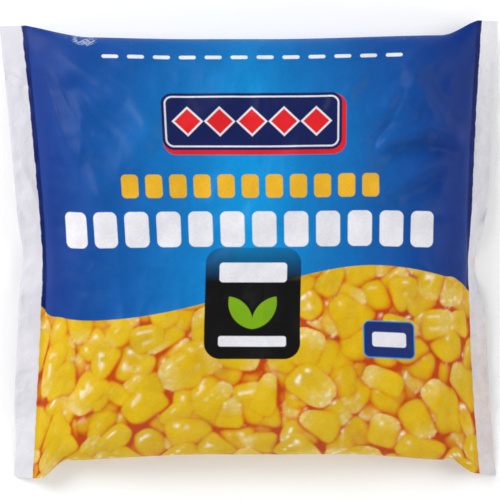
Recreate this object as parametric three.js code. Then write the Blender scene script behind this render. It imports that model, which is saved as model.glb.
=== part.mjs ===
// A filled one-kilogram frozen vegetable bag, lying on its back.
// The bag is a tube of printed film, flattened and welded across both ends, so it is one closed piece:
// a pillow between two long folds (the +Y and -Y edges) and two flat welded strips (the -X and +X ends).
// Millimetres, +Z up. The origin is on the floor, under the middle of the bag. +Y is the pack's top edge.
import * as THREE from "three";
import { ParametricGeometry } from "three/addons/geometries/ParametricGeometry.js";
import { mergeVertices } from "three/addons/utils/BufferGeometryUtils.js";

// Driving dimensions
const CROWN_HEIGHT = 40; // highest point of the filled pillow
const STRIP_WIDTH = 15.6; // true width of a welded strip: 2.4 of printed film, and 13.2 of bare film
const FILM_HALF = 0.3; // half the thickness of two welded films
const FOLD_HEIGHT = 18; // height of the long folds at mid length
const FLAT_SPOT = 1.06; // above 1, the underside lies flat on the floor
const SKIN_POWER = 16; // the film keeps its thickness until close to the long folds
const RELIEF_REACH = 1.6; // above 1, creases and lumps keep their height until close to the edges

// The welds, seen from above: where each one lies at its waist, and how far its two ends flare out from there
const LEFT_WELD = { waist: -113.6, waistAt: -0.03, upper: -12.1, upperPower: 1.22, lower: -6.4, lowerPower: 1.47 };
const RIGHT_WELD = { waist: 120.4, waistAt: -0.35, upper: 7.2, upperPower: 2.0, lower: 5.9, lowerPower: 1.4 };
const WELD_HEIGHT = { middle: 15.5, corner: 9.5 };

// The strips, seen from above: their visible width, the narrow waist where each one tips towards the floor, and
// by how much the lower end is narrower
const LEFT_STRIP = { seen: 15.1, waist: 1.6, waistY: -3, waistLength: 13, foot: 2, topY: 125.7, bottomY: -127.5 };
const RIGHT_STRIP = { seen: 12.4, waist: 6.6, waistY: -7, waistLength: 19, foot: 0, topY: 129.2, bottomY: -127.1 };
const STRIP_FOOT = { from: -82, to: -112 };
const STRIP_WAVE = { height: 0.9, length: 43 };

// The long folds, seen from above: their line at mid length, and the steps by which it runs out to the corners
const TOP_FOLD = {
  middle: 117.5,
  steps: [
    { from: -30, to: -110, rise: 1.6 },
    { from: -88, to: -140, rise: 8.2 },
    { from: 9, to: 126, rise: 2.9 },
    { from: 107, to: 132, rise: 9.0 },
  ],
};
const BOTTOM_FOLD = {
  middle: -113.8,
  steps: [
    { from: -22, to: -125, rise: -4.6 },
    { from: -103, to: -118, rise: -9.6 },
    { from: 53, to: 112, rise: -3.5 },
    { from: 106, to: 114, rise: 4.6 },
    { from: 105, to: 127.5, rise: -12.4 },
  ],
};

// How full the pillow is: the powers of its rounded section along the bag and across it
const FRONT_FILL = { along: 4.2, alongRoot: 1.4, across: 3.2 };
const BACK_FILL = { along: 6, alongRoot: 1.8, across: 6 };
const ROUND_ROOT = 2; // root of a round long fold
const EAR_ROOT = 1.1; // root of the thin, flattened corners beside the welds
const EAR_START = 0.8; // share of the half length at which the folds begin to flatten

// Soft creases on the face: a straight ridge (or, with a negative height, a valley) from one point to another
const CREASES = [
  { from: [-116, 112], to: [-60, 73], width: 8, height: 1.6 },
  { from: [-112, 96], to: [-88, 38], width: 6, height: 1.4 },
  { from: [-100, 92], to: [-76, 46], width: 8, height: -1.2 },
  { from: [-84, -6], to: [-58, -34], width: 5, height: -1.1 },
  { from: [-97, 4], to: [-92, -24], width: 7, height: 1.0 },
  { from: [88, 82], to: [56, 46], width: 4.5, height: -1.5 },
  { from: [90, 74], to: [118, 66], width: 5, height: 1.5 },
  { from: [96, 86], to: [114, 72], width: 4.5, height: -1.5 },
  { from: [78, 66], to: [70, 40], width: 6, height: 1.2 },
  { from: [96, 66], to: [110, 46], width: 5, height: -1.6 },
  { from: [90, 56], to: [108, 46], width: 4.5, height: 1.4 },
  { from: [110, 32], to: [120, 48], width: 5, height: 1.3 },
  { from: [104, 14], to: [118, 30], width: 6, height: -1.2 },
  { from: [100, -10], to: [116, 2], width: 6, height: 1.0 },
];

// The uneven fill under the film: crossing waves, each one shorter and lower than the last
const LUMPS = { count: 7, length: 96, shrink: 0.78, height: 0.85, fade: 0.8, turn: 2.4, phase: 1.7 };

// Steps of the surface: along a strip, along the pillow, and from one long fold to the other
const STRIP_STEPS = 2;
const PILLOW_STEPS = 48;
const ACROSS_STEPS = 46;
const MEASURE_STEPS = 2000; // steps by which the film is measured along a section
const SAME_POINT = 1e-3; // points nearer than this are one point

const { lerp, smoothstep } = THREE.MathUtils;

/** The share of a step reached at x, running from one place to another in either direction. */
function stepShare(x, from, to) {
  return from < to ? smoothstep(x, from, to) : smoothstep(-x, -from, -to);
}

/** The line of a long fold at x: its middle line with every step added. */
function foldLine(fold, x) {
  return fold.steps.reduce((y, s) => y + s.rise * stepShare(x, s.from, s.to), fold.middle);
}

/** The line of a weld at v, from -1 at the bottom corner to 1 at the top corner. */
function weldLine(weld, v) {
  const up = Math.max(0, (v - weld.waistAt) / (1 - weld.waistAt));
  const down = Math.max(0, (weld.waistAt - v) / (1 + weld.waistAt));
  return weld.waist + weld.upper * up ** weld.upperPower + weld.lower * down ** weld.lowerPower;
}

/** The place, seen from above, of the pillow's point (u, v), each from -1 to 1. */
function plan(u, v) {
  const x = lerp(weldLine(LEFT_WELD, v), weldLine(RIGHT_WELD, v), (u + 1) / 2);
  const y = lerp(foldLine(BOTTOM_FOLD, x), foldLine(TOP_FOLD, x), (v + 1) / 2);
  return [x, y];
}

/** A bulge that is 1 in the middle, 0 at both ends, and fuller for a higher power. */
function bulge(t, power, root) {
  return Math.max(0, 1 - Math.abs(t) ** power) ** (1 / root);
}

/** The height of the sheet midway between face and back, which the welds and the long folds lie on. */
function middleHeight(u, v) {
  const { middle, corner } = WELD_HEIGHT;
  return corner + (middle - corner) * (1 - v * v) * u * u + (FOLD_HEIGHT - corner) * (1 - u * u);
}

/** The height that one crease adds at a point: a rounded ridge that fades beyond its ends. */
function creaseHeight({ from, to, width, height }, x, y) {
  const [dx, dy] = [to[0] - from[0], to[1] - from[1]];
  const t = Math.min(1, Math.max(0, ((x - from[0]) * dx + (y - from[1]) * dy) / (dx * dx + dy * dy)));
  const off = Math.hypot(x - from[0] - t * dx, y - from[1] - t * dy) / width;
  return height * Math.exp(-off * off);
}

/** The height that the uneven fill adds at a point. */
function lumpHeight(x, y) {
  let sum = 0;
  for (let i = 0; i < LUMPS.count; i += 1) {
    const wave = (2 * Math.PI) / (LUMPS.length * LUMPS.shrink ** i);
    const along = x * Math.cos(LUMPS.turn * i) + y * Math.sin(LUMPS.turn * i);
    sum += LUMPS.height * LUMPS.fade ** i * Math.sin(wave * along + LUMPS.phase * i);
  }
  return sum;
}

/** The pillow's point (u, v) on its face or its back. */
function pillowPoint(u, v, isFace, target) {
  const [x, y] = plan(u, v);
  const middle = middleHeight(u, v);
  const root = lerp(ROUND_ROOT, EAR_ROOT, smoothstep(Math.abs(u), EAR_START, 1));
  const fill = isFace ? FRONT_FILL : BACK_FILL;
  const body = bulge(u, fill.along, fill.alongRoot) * bulge(v, fill.across, root);
  const skin = FILM_HALF * bulge(v, SKIN_POWER, ROUND_ROOT);
  let z;
  if (isFace) {
    const relief = CREASES.reduce((sum, crease) => sum + creaseHeight(crease, x, y), lumpHeight(x, y));
    z = lerp(middle, CROWN_HEIGHT, body) + skin + relief * Math.min(1, body * RELIEF_REACH);
  } else {
    z = lerp(middle - skin, 0, Math.min(1, body * FLAT_SPOT));
  }
  return target.set(x, y, z);
}

/** A strip's point: w runs from 0 at the weld's inner line to 1 at the cut edge, v from corner to corner. */
function stripPoint(strip, side, w, v, isFace, target) {
  const [x, y] = plan(side, v);
  const dip = strip.waist * Math.exp(-(((y - strip.waistY) / strip.waistLength) ** 2));
  const seen = strip.seen - dip - strip.foot * stepShare(y, STRIP_FOOT.from, STRIP_FOOT.to);
  const drop = Math.sqrt(STRIP_WIDTH ** 2 - seen ** 2);
  const wave = STRIP_WAVE.height * Math.sin((2 * Math.PI * y) / STRIP_WAVE.length) * (1 - v * v);
  const edgeY = lerp(strip.bottomY, strip.topY, (v + 1) / 2);
  const skin = w < 1 ? FILM_HALF * bulge(v, SKIN_POWER, ROUND_ROOT) : 0;
  const z = middleHeight(side, v) - drop * w + wave * w + (isFace ? skin : -skin);
  return target.set(x + side * seen * w, lerp(y, edgeY, w), z);
}

/** A section of the pillow, so that three.js can find even steps of film along it. */
class Section extends THREE.Curve {
  constructor(pointAt) {
    super();
    this.pointAt = pointAt;
  }

  getPoint(t, target = new THREE.Vector3()) {
    return this.pointAt(lerp(-1, 1, t), target);
  }
}

/** The parameters, from -1 to 1, of evenly spaced points of film on a section. */
function evenSteps(section, count) {
  section.arcLengthDivisions = MEASURE_STEPS;
  return Array.from({ length: count + 1 }, (_, i) => lerp(-1, 1, section.getUtoTmapping(i / count)));
}

/** The whole bag as one closed tube of film, with each flattened end closed to a line. */
function bagGeometry() {
  const along = evenSteps(new Section((u, target) => pillowPoint(u, 0, true, target)), PILLOW_STEPS);
  const across = evenSteps(new Section((v, target) => pillowPoint(0, v, true, target)), ACROSS_STEPS);
  const slices = PILLOW_STEPS + 2 * STRIP_STEPS;
  const stacks = 2 * ACROSS_STEPS;
  const place = (a, b, target) => {
    const i = Math.round(a * slices) - STRIP_STEPS;
    const j = Math.round(b * stacks);
    const isFace = j <= ACROSS_STEPS;
    const v = across[isFace ? j : stacks - j];
    if (i < 0) stripPoint(LEFT_STRIP, -1, -i / STRIP_STEPS, v, isFace, target);
    else if (i > PILLOW_STEPS) stripPoint(RIGHT_STRIP, 1, (i - PILLOW_STEPS) / STRIP_STEPS, v, isFace, target);
    else pillowPoint(along[i], v, isFace, target);
  };
  const grid = new ParametricGeometry(place, slices, stacks);
  grid.deleteAttribute("normal");
  grid.deleteAttribute("uv");
  return mergeVertices(grid, SAME_POINT);
}

/** Moves a shape so that it stands on the floor, centred on the origin. */
function standOnOrigin(geometry) {
  geometry.computeBoundingBox();
  const { min, max } = geometry.boundingBox;
  return geometry.translate(-(min.x + max.x) / 2, -(min.y + max.y) / 2, -min.z);
}

const bag = new THREE.Group();
const film = new THREE.MeshStandardMaterial({ color: 0x1c5fa8, roughness: 0.4, metalness: 0 });
const body = new THREE.Mesh(standOnOrigin(bagGeometry()), film);
body.name = "bag";
bag.add(body);

export default bag;
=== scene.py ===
"""The looks of a filled one-kilogram bag of frozen sweetcorn, lying on its back with the printed face up.

The bag is one closed tube of printed film. Round the bag, the film runs from the middle of the back under
the lower long fold, up over the face, round the upper long fold and back again. Along the bag, it runs from
the cut edge of the left welded strip to the cut edge of the right one. A place on the film is (s, t): s runs
along the bag from its middle, and t runs up the face from the lower fold. The welds, folds and fill follow
the solid. Lengths are in millimetres until a mesh is made. The mesh is in metres, with +Z up and +Y at the
pack's top edge.
"""

import logging
import math
from dataclasses import dataclass, replace
from enum import Enum

import bpy
import numpy as np
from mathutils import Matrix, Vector
from numpy.typing import NDArray


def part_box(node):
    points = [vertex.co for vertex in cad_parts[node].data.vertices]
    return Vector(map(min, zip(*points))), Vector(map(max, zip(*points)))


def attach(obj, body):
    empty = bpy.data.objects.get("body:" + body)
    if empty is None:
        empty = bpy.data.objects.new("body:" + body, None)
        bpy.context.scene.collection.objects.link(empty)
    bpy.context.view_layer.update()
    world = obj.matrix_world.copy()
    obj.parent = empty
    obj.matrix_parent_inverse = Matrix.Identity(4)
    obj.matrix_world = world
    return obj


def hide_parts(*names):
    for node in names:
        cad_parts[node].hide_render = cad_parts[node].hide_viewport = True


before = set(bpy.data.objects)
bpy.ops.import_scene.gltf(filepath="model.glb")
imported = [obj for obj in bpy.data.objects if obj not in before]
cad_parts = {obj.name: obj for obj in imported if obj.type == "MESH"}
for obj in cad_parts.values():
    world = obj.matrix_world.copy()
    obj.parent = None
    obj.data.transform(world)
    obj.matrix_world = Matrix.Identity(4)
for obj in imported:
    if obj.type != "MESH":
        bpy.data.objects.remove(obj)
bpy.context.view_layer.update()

MM = 0.001
NOISE_CELLS = 256  # grid cells after which the random bumps repeat
SECTION_PLACES = 6001  # places at which the film along a section is measured
FAR_BELOW = -1e3  # height of a kernel outside its own outline
LOG = logging.getLogger("sweetcorn_bag")

Array = NDArray[np.float64]
Point = tuple[float, float]
Socket = bpy.types.NodeSocket
Value = float | tuple | Socket


# Curves and waves


def smoothstep(x: Array, start: float, stop: float) -> Array:
    """Returns a smooth step's share at x: 3a^2 - 2a^3, with a held to 0 to 1, in either direction."""
    share = np.clip((x - start) / (stop - start), 0, 1)
    return share * share * (3 - 2 * share)


def lerp(start: Array, stop: Array, share: Array) -> Array:
    """Returns the value that lies the given share of the way from start to stop."""
    return start + (stop - start) * share


def ranged(chance: Array | float, least: float, more: float) -> Array | float:
    """Returns values that go from the least one up by as much as more, for chances from 0 to 1."""
    return least + more * chance


def bulge(t: Array, power: float, root: Array) -> Array:
    """Returns (1 - |t|^power)^(1/root): 1 in the middle, 0 at both ends, fuller for a higher power."""
    return np.maximum(0, 1 - np.abs(t) ** power) ** (1 / root)


def value_noise(x: Array, y: Array, size: float, seed: int) -> Array:
    """Returns smooth random bumps from 0 to 1, a size across.

    Random numbers stand at the corners of a square grid, and a place takes the mix of its cell's four
    corners, with smooth weights 3f^2 - 2f^3 in x and y.

    Args:
        x: Places along the film.
        y: Places across the film, of the same shape.
        size: Side of one grid cell.
        seed: Seed of the random numbers.

    Returns:
        The bump's height at each place.
    """
    table = np.random.default_rng(seed).random((NOISE_CELLS, NOISE_CELLS))
    column, row = np.floor(x / size).astype(int), np.floor(y / size).astype(int)
    fx, fy = smoothstep(x / size - column, 0, 1), smoothstep(y / size - row, 0, 1)
    i, j = ((cell % NOISE_CELLS, (cell + 1) % NOISE_CELLS) for cell in (column, row))
    low, high = (lerp(table[i[0], end], table[i[1], end], fx) for end in j)
    return lerp(low, high, fy)


def ridges(x: Array, y: Array, size: float, seed: int) -> Array:
    """Returns crinkles from 0 to 1: 1 - |2n - 1| for the smooth bumps n, so that folds have thin crests."""
    return 1 - np.abs(2 * value_noise(x, y, size, seed) - 1)


def blurred(picture: Array, reach: float) -> Array:
    """Returns a picture softened by a bell-shaped weight, first down and then across.

    Args:
        picture: Values on a grid.
        reach: Standard deviation of the weight, in grid steps.

    Returns:
        The softened picture, of the same shape.
    """
    half = int(3 * reach) + 1
    weights = np.exp(-0.5 * (np.arange(-half, half + 1) / reach) ** 2)
    weights /= weights.sum()
    for _ in range(2):
        padded = np.pad(picture, ((half, half), (0, 0)), mode="edge")
        picture = sum(w * padded[i : i + len(picture)] for i, w in enumerate(weights)).T
    return picture


# The shape of the filled film


@dataclass(frozen=True)
class Weld:
    """One weld seen from above, which is narrowest at its waist and flares out to both ends.

    Attributes:
        waist: Place x of the waist.
        waist_at: Place v of the waist.
        upper: How far the upper end flares, positive to the right.
        upper_power: How late that flare comes.
        lower: How far the lower end flares, positive to the right.
        lower_power: How late that flare comes.
    """

    waist: float
    waist_at: float
    upper: float
    upper_power: float
    lower: float
    lower_power: float

    def line(self, v: Array) -> Array:
        """Works out the weld's line: waist + upper * up^power above it, and lower * down^power below it.

        Args:
            v: Place between the long folds, -1 to 1.

        Returns:
            The line's place x.
        """
        up = np.maximum(0, (v - self.waist_at) / (1 - self.waist_at))
        down = np.maximum(0, (self.waist_at - v) / (1 + self.waist_at))
        return self.waist + self.upper * up**self.upper_power + self.lower * down**self.lower_power


@dataclass(frozen=True)
class LongFold:
    """One long fold seen from above.

    Attributes:
        middle: Place y of the fold at mid length.
        steps: Where each smooth step of the fold starts, where it ends, and how far it rises.
    """

    middle: float
    steps: tuple[tuple[float, float, float], ...]

    def line(self, x: Array) -> Array:
        """Returns y at x: the middle line with every smooth step added."""
        return self.middle + sum(rise * smoothstep(x, start, stop) for start, stop, rise in self.steps)


@dataclass(frozen=True)
class Strip:
    """One welded strip.

    Attributes:
        seen: Its width seen from above, away from the waist.
        waist: How much narrower it looks at the waist.
        waist_y: Place y of the waist.
        waist_length: How long the waist is.
        foot: How much narrower its lower end looks.
        top_y: Place y of the cut edge's upper end.
        bottom_y: Place y of the cut edge's lower end.
        crumpled: The share of the bag's strip crumples that it shows.
    """

    seen: float
    waist: float
    waist_y: float
    waist_length: float
    foot: float
    top_y: float
    bottom_y: float
    crumpled: float


@dataclass(frozen=True)
class Crease:
    """A ridge in the film that runs straight from point to point, or a valley where its height is negative.

    Attributes:
        points: The points that its line runs through.
        width: How far from its line it has lost 63 percent of its height.
        height: Its height on the line.
    """

    points: tuple[Point, ...]
    width: float
    height: float

    def relief(self, x: Array, y: Array) -> Array:
        """Works out the crease's relief: height * exp(-(d / width)^2) for the distance d from its line.

        Args:
            x: Places along the bag.
            y: Places across the bag.

        Returns:
            The relief at each place.
        """
        nearest = np.full_like(x, np.inf)
        for start, stop in zip(self.points, self.points[1:]):
            run = np.subtract(stop, start)
            share = np.clip(((x - start[0]) * run[0] + (y - start[1]) * run[1]) / (run @ run), 0, 1)
            off_x, off_y = x - start[0] - share * run[0], y - start[1] - share * run[1]
            nearest = np.minimum(nearest, np.hypot(off_x, off_y))
        return self.height * np.exp(-((nearest / self.width) ** 2))


@dataclass(frozen=True)
class Puckers:
    """Fine ridges that run into the bag from a weld, each with its own place, width, length and slant.

    Attributes:
        count: How many there are at each weld.
        height: Height of the highest ones.
        width: Least and greatest width.
        widening: How much wider a ridge gets for each millimetre away from the weld.
        length: Least and greatest length over which a ridge dies away.
        slant: How far the lines at the bag's corners slant on average.
        seed: Seed of the random numbers.
    """

    count: int = 30
    height: float = 1.0
    width: Point = (1.6, 4.2)
    widening: float = 0.05
    length: Point = (9.0, 34.0)
    slant: float = 0.35
    seed: int = 5

    def relief(self, away: Array, y: Array, half_height: float, seed_step: int) -> Array:
        """Works out the ridges of one weld.

        A ridge is height * exp(-((y - line) / width)^2) * exp(-away / length), and its line slants towards
        the middle of the bag as it leaves the weld.

        Args:
            away: Distance from the weld.
            y: Place along the weld, from the middle of the bag.
            half_height: Half the length of the weld.
            seed_step: Added to the seed, so that both welds differ.

        Returns:
            The height that the ridges add.
        """
        rng = np.random.default_rng(self.seed + seed_step)
        total = np.zeros_like(away)
        for place, wide, long, high, lean in rng.random((self.count, 5)):
            start = (2 * place - 1) * half_height
            width = lerp(*self.width, wide)
            line = start - start / half_height * self.slant * (0.5 + lean) * away
            ridge = np.exp(-(((y - line) / (width + self.widening * away)) ** 2))
            total += self.height * (2 * high - 1) * ridge * np.exp(-away / lerp(*self.length, long))
        return total


@dataclass(frozen=True)
class CornerFan:
    """Crinkles that spread from a corner of the bag into its face, as the film is drawn in there.

    Attributes:
        corner: The corner that they spread from.
        seed: Seed of the random numbers.
        height: Height of the highest ones.
        spread: Angle of one crinkle, in radians.
        length: Length of one crinkle.
        sway: How far its line sways from side to side, as a share of its angle.
        sway_length: Length of that sway, over 2 pi.
        finer: Height share, angle share and length share of the finer crinkles between them.
        level: Share of the crests' height that lies below the film's own surface.
        rise: Radii between which the crinkles start.
        fall: Radii between which they die away, the far one first.
    """

    corner: Point
    seed: int
    height: float = 1.2
    spread: float = 0.13
    length: float = 70.0
    sway: float = 0.35
    sway_length: float = 17.0
    finer: tuple[float, float, float] = (0.45, 2.1, 1.7)
    level: float = 0.72
    rise: Point = (10.0, 46.0)
    fall: Point = (150.0, 62.0)

    def relief(self, x: Array, y: Array) -> Array:
        """Works out the fan's crinkles.

        They are ridged noise in polar places about the corner, narrow in the angle and long in the radius.
        Their height grows with the radius by one smooth step and dies away by another.

        Args:
            x: Places along the bag.
            y: Places across the bag.

        Returns:
            The height that the crinkles add.
        """
        dx, dy = x - self.corner[0], y - self.corner[1]
        radius, angle = np.hypot(dx, dy), np.arctan2(dy, dx)
        around = angle / self.spread + self.sway * np.sin(radius / self.sway_length + self.seed)
        out = radius / self.length
        share, tighter, shorter = self.finer
        crests = ridges(around, out, 1.0, self.seed)
        crests = crests + share * ridges(around * tighter, out * shorter, 1.0, self.seed + 1)
        reach = smoothstep(radius, *self.rise) * smoothstep(radius, *self.fall)
        return self.height * (crests - self.level) * reach


@dataclass(frozen=True)
class FilledFilm:
    """The filled bag's surface, with the same formulas as the solid, and finer relief on top.

    A place on either side is (u, v): u runs from the left weld at -1 to the right one at 1, and v from the
    lower fold at -1 to the upper one at 1.

    Attributes:
        crown_height: Height of the face where the bag is full.
        strip_width: True width of a welded strip, with its printed band.
        strip_foot: Places y between which a strip narrows to its lower end.
        film_half: Half the thickness of the doubled film at the welds and folds.
        fold_height: Height of the long folds at mid length.
        flat_spot: How much of the back lies flat on the floor.
        weld_middle_height: Height of the welds at mid length.
        weld_corner_height: Height of the bag's corners.
        front_fill: Powers of the face's bulge: along, its root, and across.
        back_fill: The same for the back.
        round_root: Root of the bulge across, where the folds are round.
        ear_root: The same at the flattened corners.
        ear_start: Place u where the corners start.
        skin_power: How late the film's thickness ends towards the folds.
        relief_reach: How soon the relief comes in, away from the welds and folds.
        wave_height: Height of the strips' long waves.
        wave_length: Length of those waves.
        lumps: The uneven fill: count, length, shrink, height, fade, turn and phase of its waves.
        kernel_relief: Height of the kernels that show through the film.
        kernel_pitch: Size of those kernels.
        warp: How far the crinkles wander, and over what length.
        crinkles: Height and size of each layer of crinkles.
        crinkle_level: Share of a crinkle's height that lies below the film's own surface.
        crinkle_squash: How much the crinkles are drawn out across the bag.
        strip_crumples: Height and size of each layer of the strips' crumples.
        strip_lean: How far those crumples lean along the strip.
        left_weld: The left weld's line.
        right_weld: The right weld's line.
        left_strip: The left strip.
        right_strip: The right strip.
        top_fold: The upper long fold's line.
        bottom_fold: The lower long fold's line.
        puckers: Fine ridges beside both welds.
        fans: Crinkles at the four corners.
        strip_creases: Creases in the strips.
        creases: Creases in the face.
    """

    crown_height: float = 40
    strip_width: float = 15.6
    strip_foot: Point = (-82, -112)
    film_half: float = 0.3
    fold_height: float = 18
    flat_spot: float = 1.06
    weld_middle_height: float = 15.5
    weld_corner_height: float = 9.5
    front_fill: tuple[float, float, float] = (4.2, 1.4, 3.2)
    back_fill: tuple[float, float, float] = (6, 1.8, 6)
    round_root: float = 2
    ear_root: float = 1.1
    ear_start: float = 0.8
    skin_power: float = 16
    relief_reach: float = 1.6
    wave_height: float = 0.9
    wave_length: float = 43
    lumps: tuple[int, float, float, float, float, float, float] = (7, 96, 0.78, 0.85, 0.8, 2.4, 1.7)
    kernel_relief: float = 0.34
    kernel_pitch: float = 8.5
    warp: Point = (9.0, 34.0)
    crinkles: tuple[Point, ...] = ((1.7, 24.0), (0.7, 10.5), (0.2, 5.0))
    crinkle_level: float = 0.6
    crinkle_squash: float = 0.8
    strip_crumples: tuple[Point, ...] = ((2.2, 13.0), (1.4, 6.0), (0.3, 2.8))
    strip_lean: float = 0.4
    left_weld: Weld = Weld(-113.6, -0.03, -12.1, 1.22, -6.4, 1.47)
    right_weld: Weld = Weld(120.4, -0.35, 7.2, 2.0, 5.9, 1.4)
    left_strip: Strip = Strip(15.1, 1.6, -3, 13, 2, 125.7, -127.5, 0.6)
    right_strip: Strip = Strip(12.4, 6.6, -7, 19, 0, 129.2, -127.1, 1.2)
    top_fold: LongFold = LongFold(
        117.5, ((-30, -110, 1.6), (-88, -140, 8.2), (9, 126, 2.9), (107, 132, 9.0))
    )
    bottom_fold: LongFold = LongFold(
        -113.8,
        ((-22, -125, -4.6), (-103, -118, -9.6), (53, 112, -3.5), (106, 114, 4.6), (105, 127.5, -12.4)),
    )
    puckers: Puckers = Puckers()
    fans: tuple[CornerFan, ...] = (
        CornerFan((-132, 126), 41),
        CornerFan((132, 128), 51),
        CornerFan((-126, -128), 61, height=1.0),
        CornerFan((130, -126), 71, height=1.0),
    )
    strip_creases: tuple[Crease, ...] = (
        Crease(((-140, 98), (-124, 91)), 1.8, -2.4),
        Crease(((-139, 104), (-126, 97)), 3.0, 0.7),
        Crease(((-128, 46), (-120, 30)), 2.4, 0.9),
        Crease(((-122, 12), (-130, 24)), 2.0, -0.8),
        Crease(((126, 60), (136, 72)), 2.2, 0.8),
        Crease(((124, 8), (132, 24)), 2.4, -0.9),
    )
    creases: tuple[Crease, ...] = (
        Crease(((-108, 110), (-84, 94), (-66, 84), (-56, 62)), 8, 3.0),
        Crease(((-98, 88), (-70, 66)), 9, -1.4),
        Crease(((-117, 104), (-106, 74), (-86, 38), (-78, 16)), 7, 2.2),
        Crease(((-84, -6), (-58, -34)), 5, -1.1),
        Crease(((-97, 4), (-92, -24)), 7, 1.0),
        Crease(((84, 86), (76, 70), (68, 58)), 2.4, -1.5),
        Crease(((90, 100), (94, 90), (103, 76), (114, 67)), 6, 3.8),
        Crease(((103, 92), (113, 77)), 6, -2.6),
        Crease(((76, 59), (88, 63), (98, 68), (114, 62)), 5, 3.4),
        Crease(((78, 53), (96, 58), (110, 54)), 4.5, -3.0),
        Crease(((106, 49), (92, 42), (74, 32)), 5.5, 3.4),
        Crease(((104, 39), (88, 31)), 5, -2.2),
        Crease(((108, 34), (120, 44)), 5, 1.3),
        Crease(((104, 14), (118, 30)), 6, -1.4),
        Crease(((100, -10), (116, 2)), 6, 1.2),
        Crease(((60, 92), (44, 78)), 3.2, 1.0),
    )

    def plan(self, u: Array, v: Array) -> tuple[Array, Array]:
        """Works out places seen from above: x between the weld lines, and y between the fold lines at x.

        Args:
            u: Place between the welds, -1 to 1.
            v: Place between the long folds, -1 to 1.

        Returns:
            The places x and y.
        """
        x = lerp(self.left_weld.line(v), self.right_weld.line(v), (u + 1) / 2)
        y = lerp(self.bottom_fold.line(x), self.top_fold.line(x), (v + 1) / 2)
        return x, y

    def middle_height(self, u: Array, v: Array) -> Array:
        """Works out the height midway between face and back, which the welds and the long folds lie on.

        It is the corners' height + the welds' rise * (1 - v^2) u^2 + the folds' rise * (1 - u^2).

        Args:
            u: Place between the welds, -1 to 1.
            v: Place between the long folds, -1 to 1.

        Returns:
            The height.
        """
        corner = self.weld_corner_height
        at_weld = (self.weld_middle_height - corner) * (1 - v * v) * u * u
        return corner + at_weld + (self.fold_height - corner) * (1 - u * u)

    def fullness(self, u: Array, v: Array, is_face: bool) -> Array:
        """Works out how full the pillow is: one bulge along the bag, times one across it.

        Args:
            u: Place between the welds, -1 to 1.
            v: Place between the long folds, -1 to 1.
            is_face: Whether the places are on the face or on the back.

        Returns:
            The fullness, from 0 at the welds and folds to 1.
        """
        along, root_along, across = self.front_fill if is_face else self.back_fill
        root = lerp(self.round_root, self.ear_root, smoothstep(np.abs(u), self.ear_start, 1))
        return bulge(u, along, root_along) * bulge(v, across, root)

    def lump_height(self, x: Array, y: Array) -> Array:
        """Works out the uneven fill: crossing sine waves, each one shorter and lower than the last.

        Args:
            x: Places along the bag.
            y: Places across the bag.

        Returns:
            The height that the waves add.
        """
        count, length, shrink, height, fade, turn, phase = self.lumps
        total = np.zeros_like(x)
        for i in range(count):
            along = x * math.cos(turn * i) + y * math.sin(turn * i)
            total += height * fade**i * np.sin(2 * math.pi / (length * shrink**i) * along + phase * i)
        return total

    def fine_relief(self, v: Array, x: Array, y: Array) -> Array:
        """Works out the relief that the solid leaves out: kernels, crinkles, fans and puckers.

        The kernels are soft bumps with others half their size and height on top. The crinkles are ridges
        whose places are moved about by soft bumps, so that they wander.

        Args:
            v: Place between the long folds, -1 to 1.
            x: Places along the bag.
            y: Places across the bag.

        Returns:
            The height that the relief adds.
        """
        pitch = self.kernel_pitch
        kernels = value_noise(x, y, pitch, 21) + 0.5 * value_noise(x, y, pitch / 2, 22)
        total = self.kernel_relief * (kernels - 0.75)
        warp = self.warp[0] * value_noise(x, y, self.warp[1], 23)
        for seed, (height, size) in enumerate(self.crinkles, start=24):
            crinkled = ridges(x + warp, self.crinkle_squash * y - warp, size, seed)
            total = total + height * (crinkled - self.crinkle_level)
        total = total + sum(fan.relief(x, y) for fan in self.fans)
        half_height = self.top_fold.middle
        total = total + self.puckers.relief(x - self.left_weld.line(v), y, half_height, 0)
        return total + self.puckers.relief(self.right_weld.line(v) - x, y, half_height, 1)

    def pillow(self, u: Array, v: Array, is_face: bool) -> Array:
        """Works out points of the pillow.

        The face rises from the middle sheet to the crown by its fullness, and carries the relief in full
        where the pillow is full. The back falls from the middle sheet to the floor, and lies flat on it.

        Args:
            u: Place between the welds, -1 to 1.
            v: Place between the long folds, -1 to 1.
            is_face: Whether the points are on the face or on the back.

        Returns:
            Points (x, y, z), along the last axis.
        """
        x, y = self.plan(u, v)
        middle = self.middle_height(u, v)
        body = self.fullness(u, v, is_face)
        skin = self.film_half * bulge(v, self.skin_power, self.round_root)
        relief, shown = self.fine_relief(v, x, y), np.minimum(1, body * self.relief_reach)
        if is_face:
            relief = relief + sum(crease.relief(x, y) for crease in self.creases) + self.lump_height(x, y)
            z = lerp(middle, self.crown_height, body) + skin + relief * shown
        else:
            flat = np.minimum(1, body * self.flat_spot)
            z = np.maximum(0, lerp(middle - skin, 0, flat) + relief * shown * (1 - flat))
        return np.stack([x, y, z], axis=-1)

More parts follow.
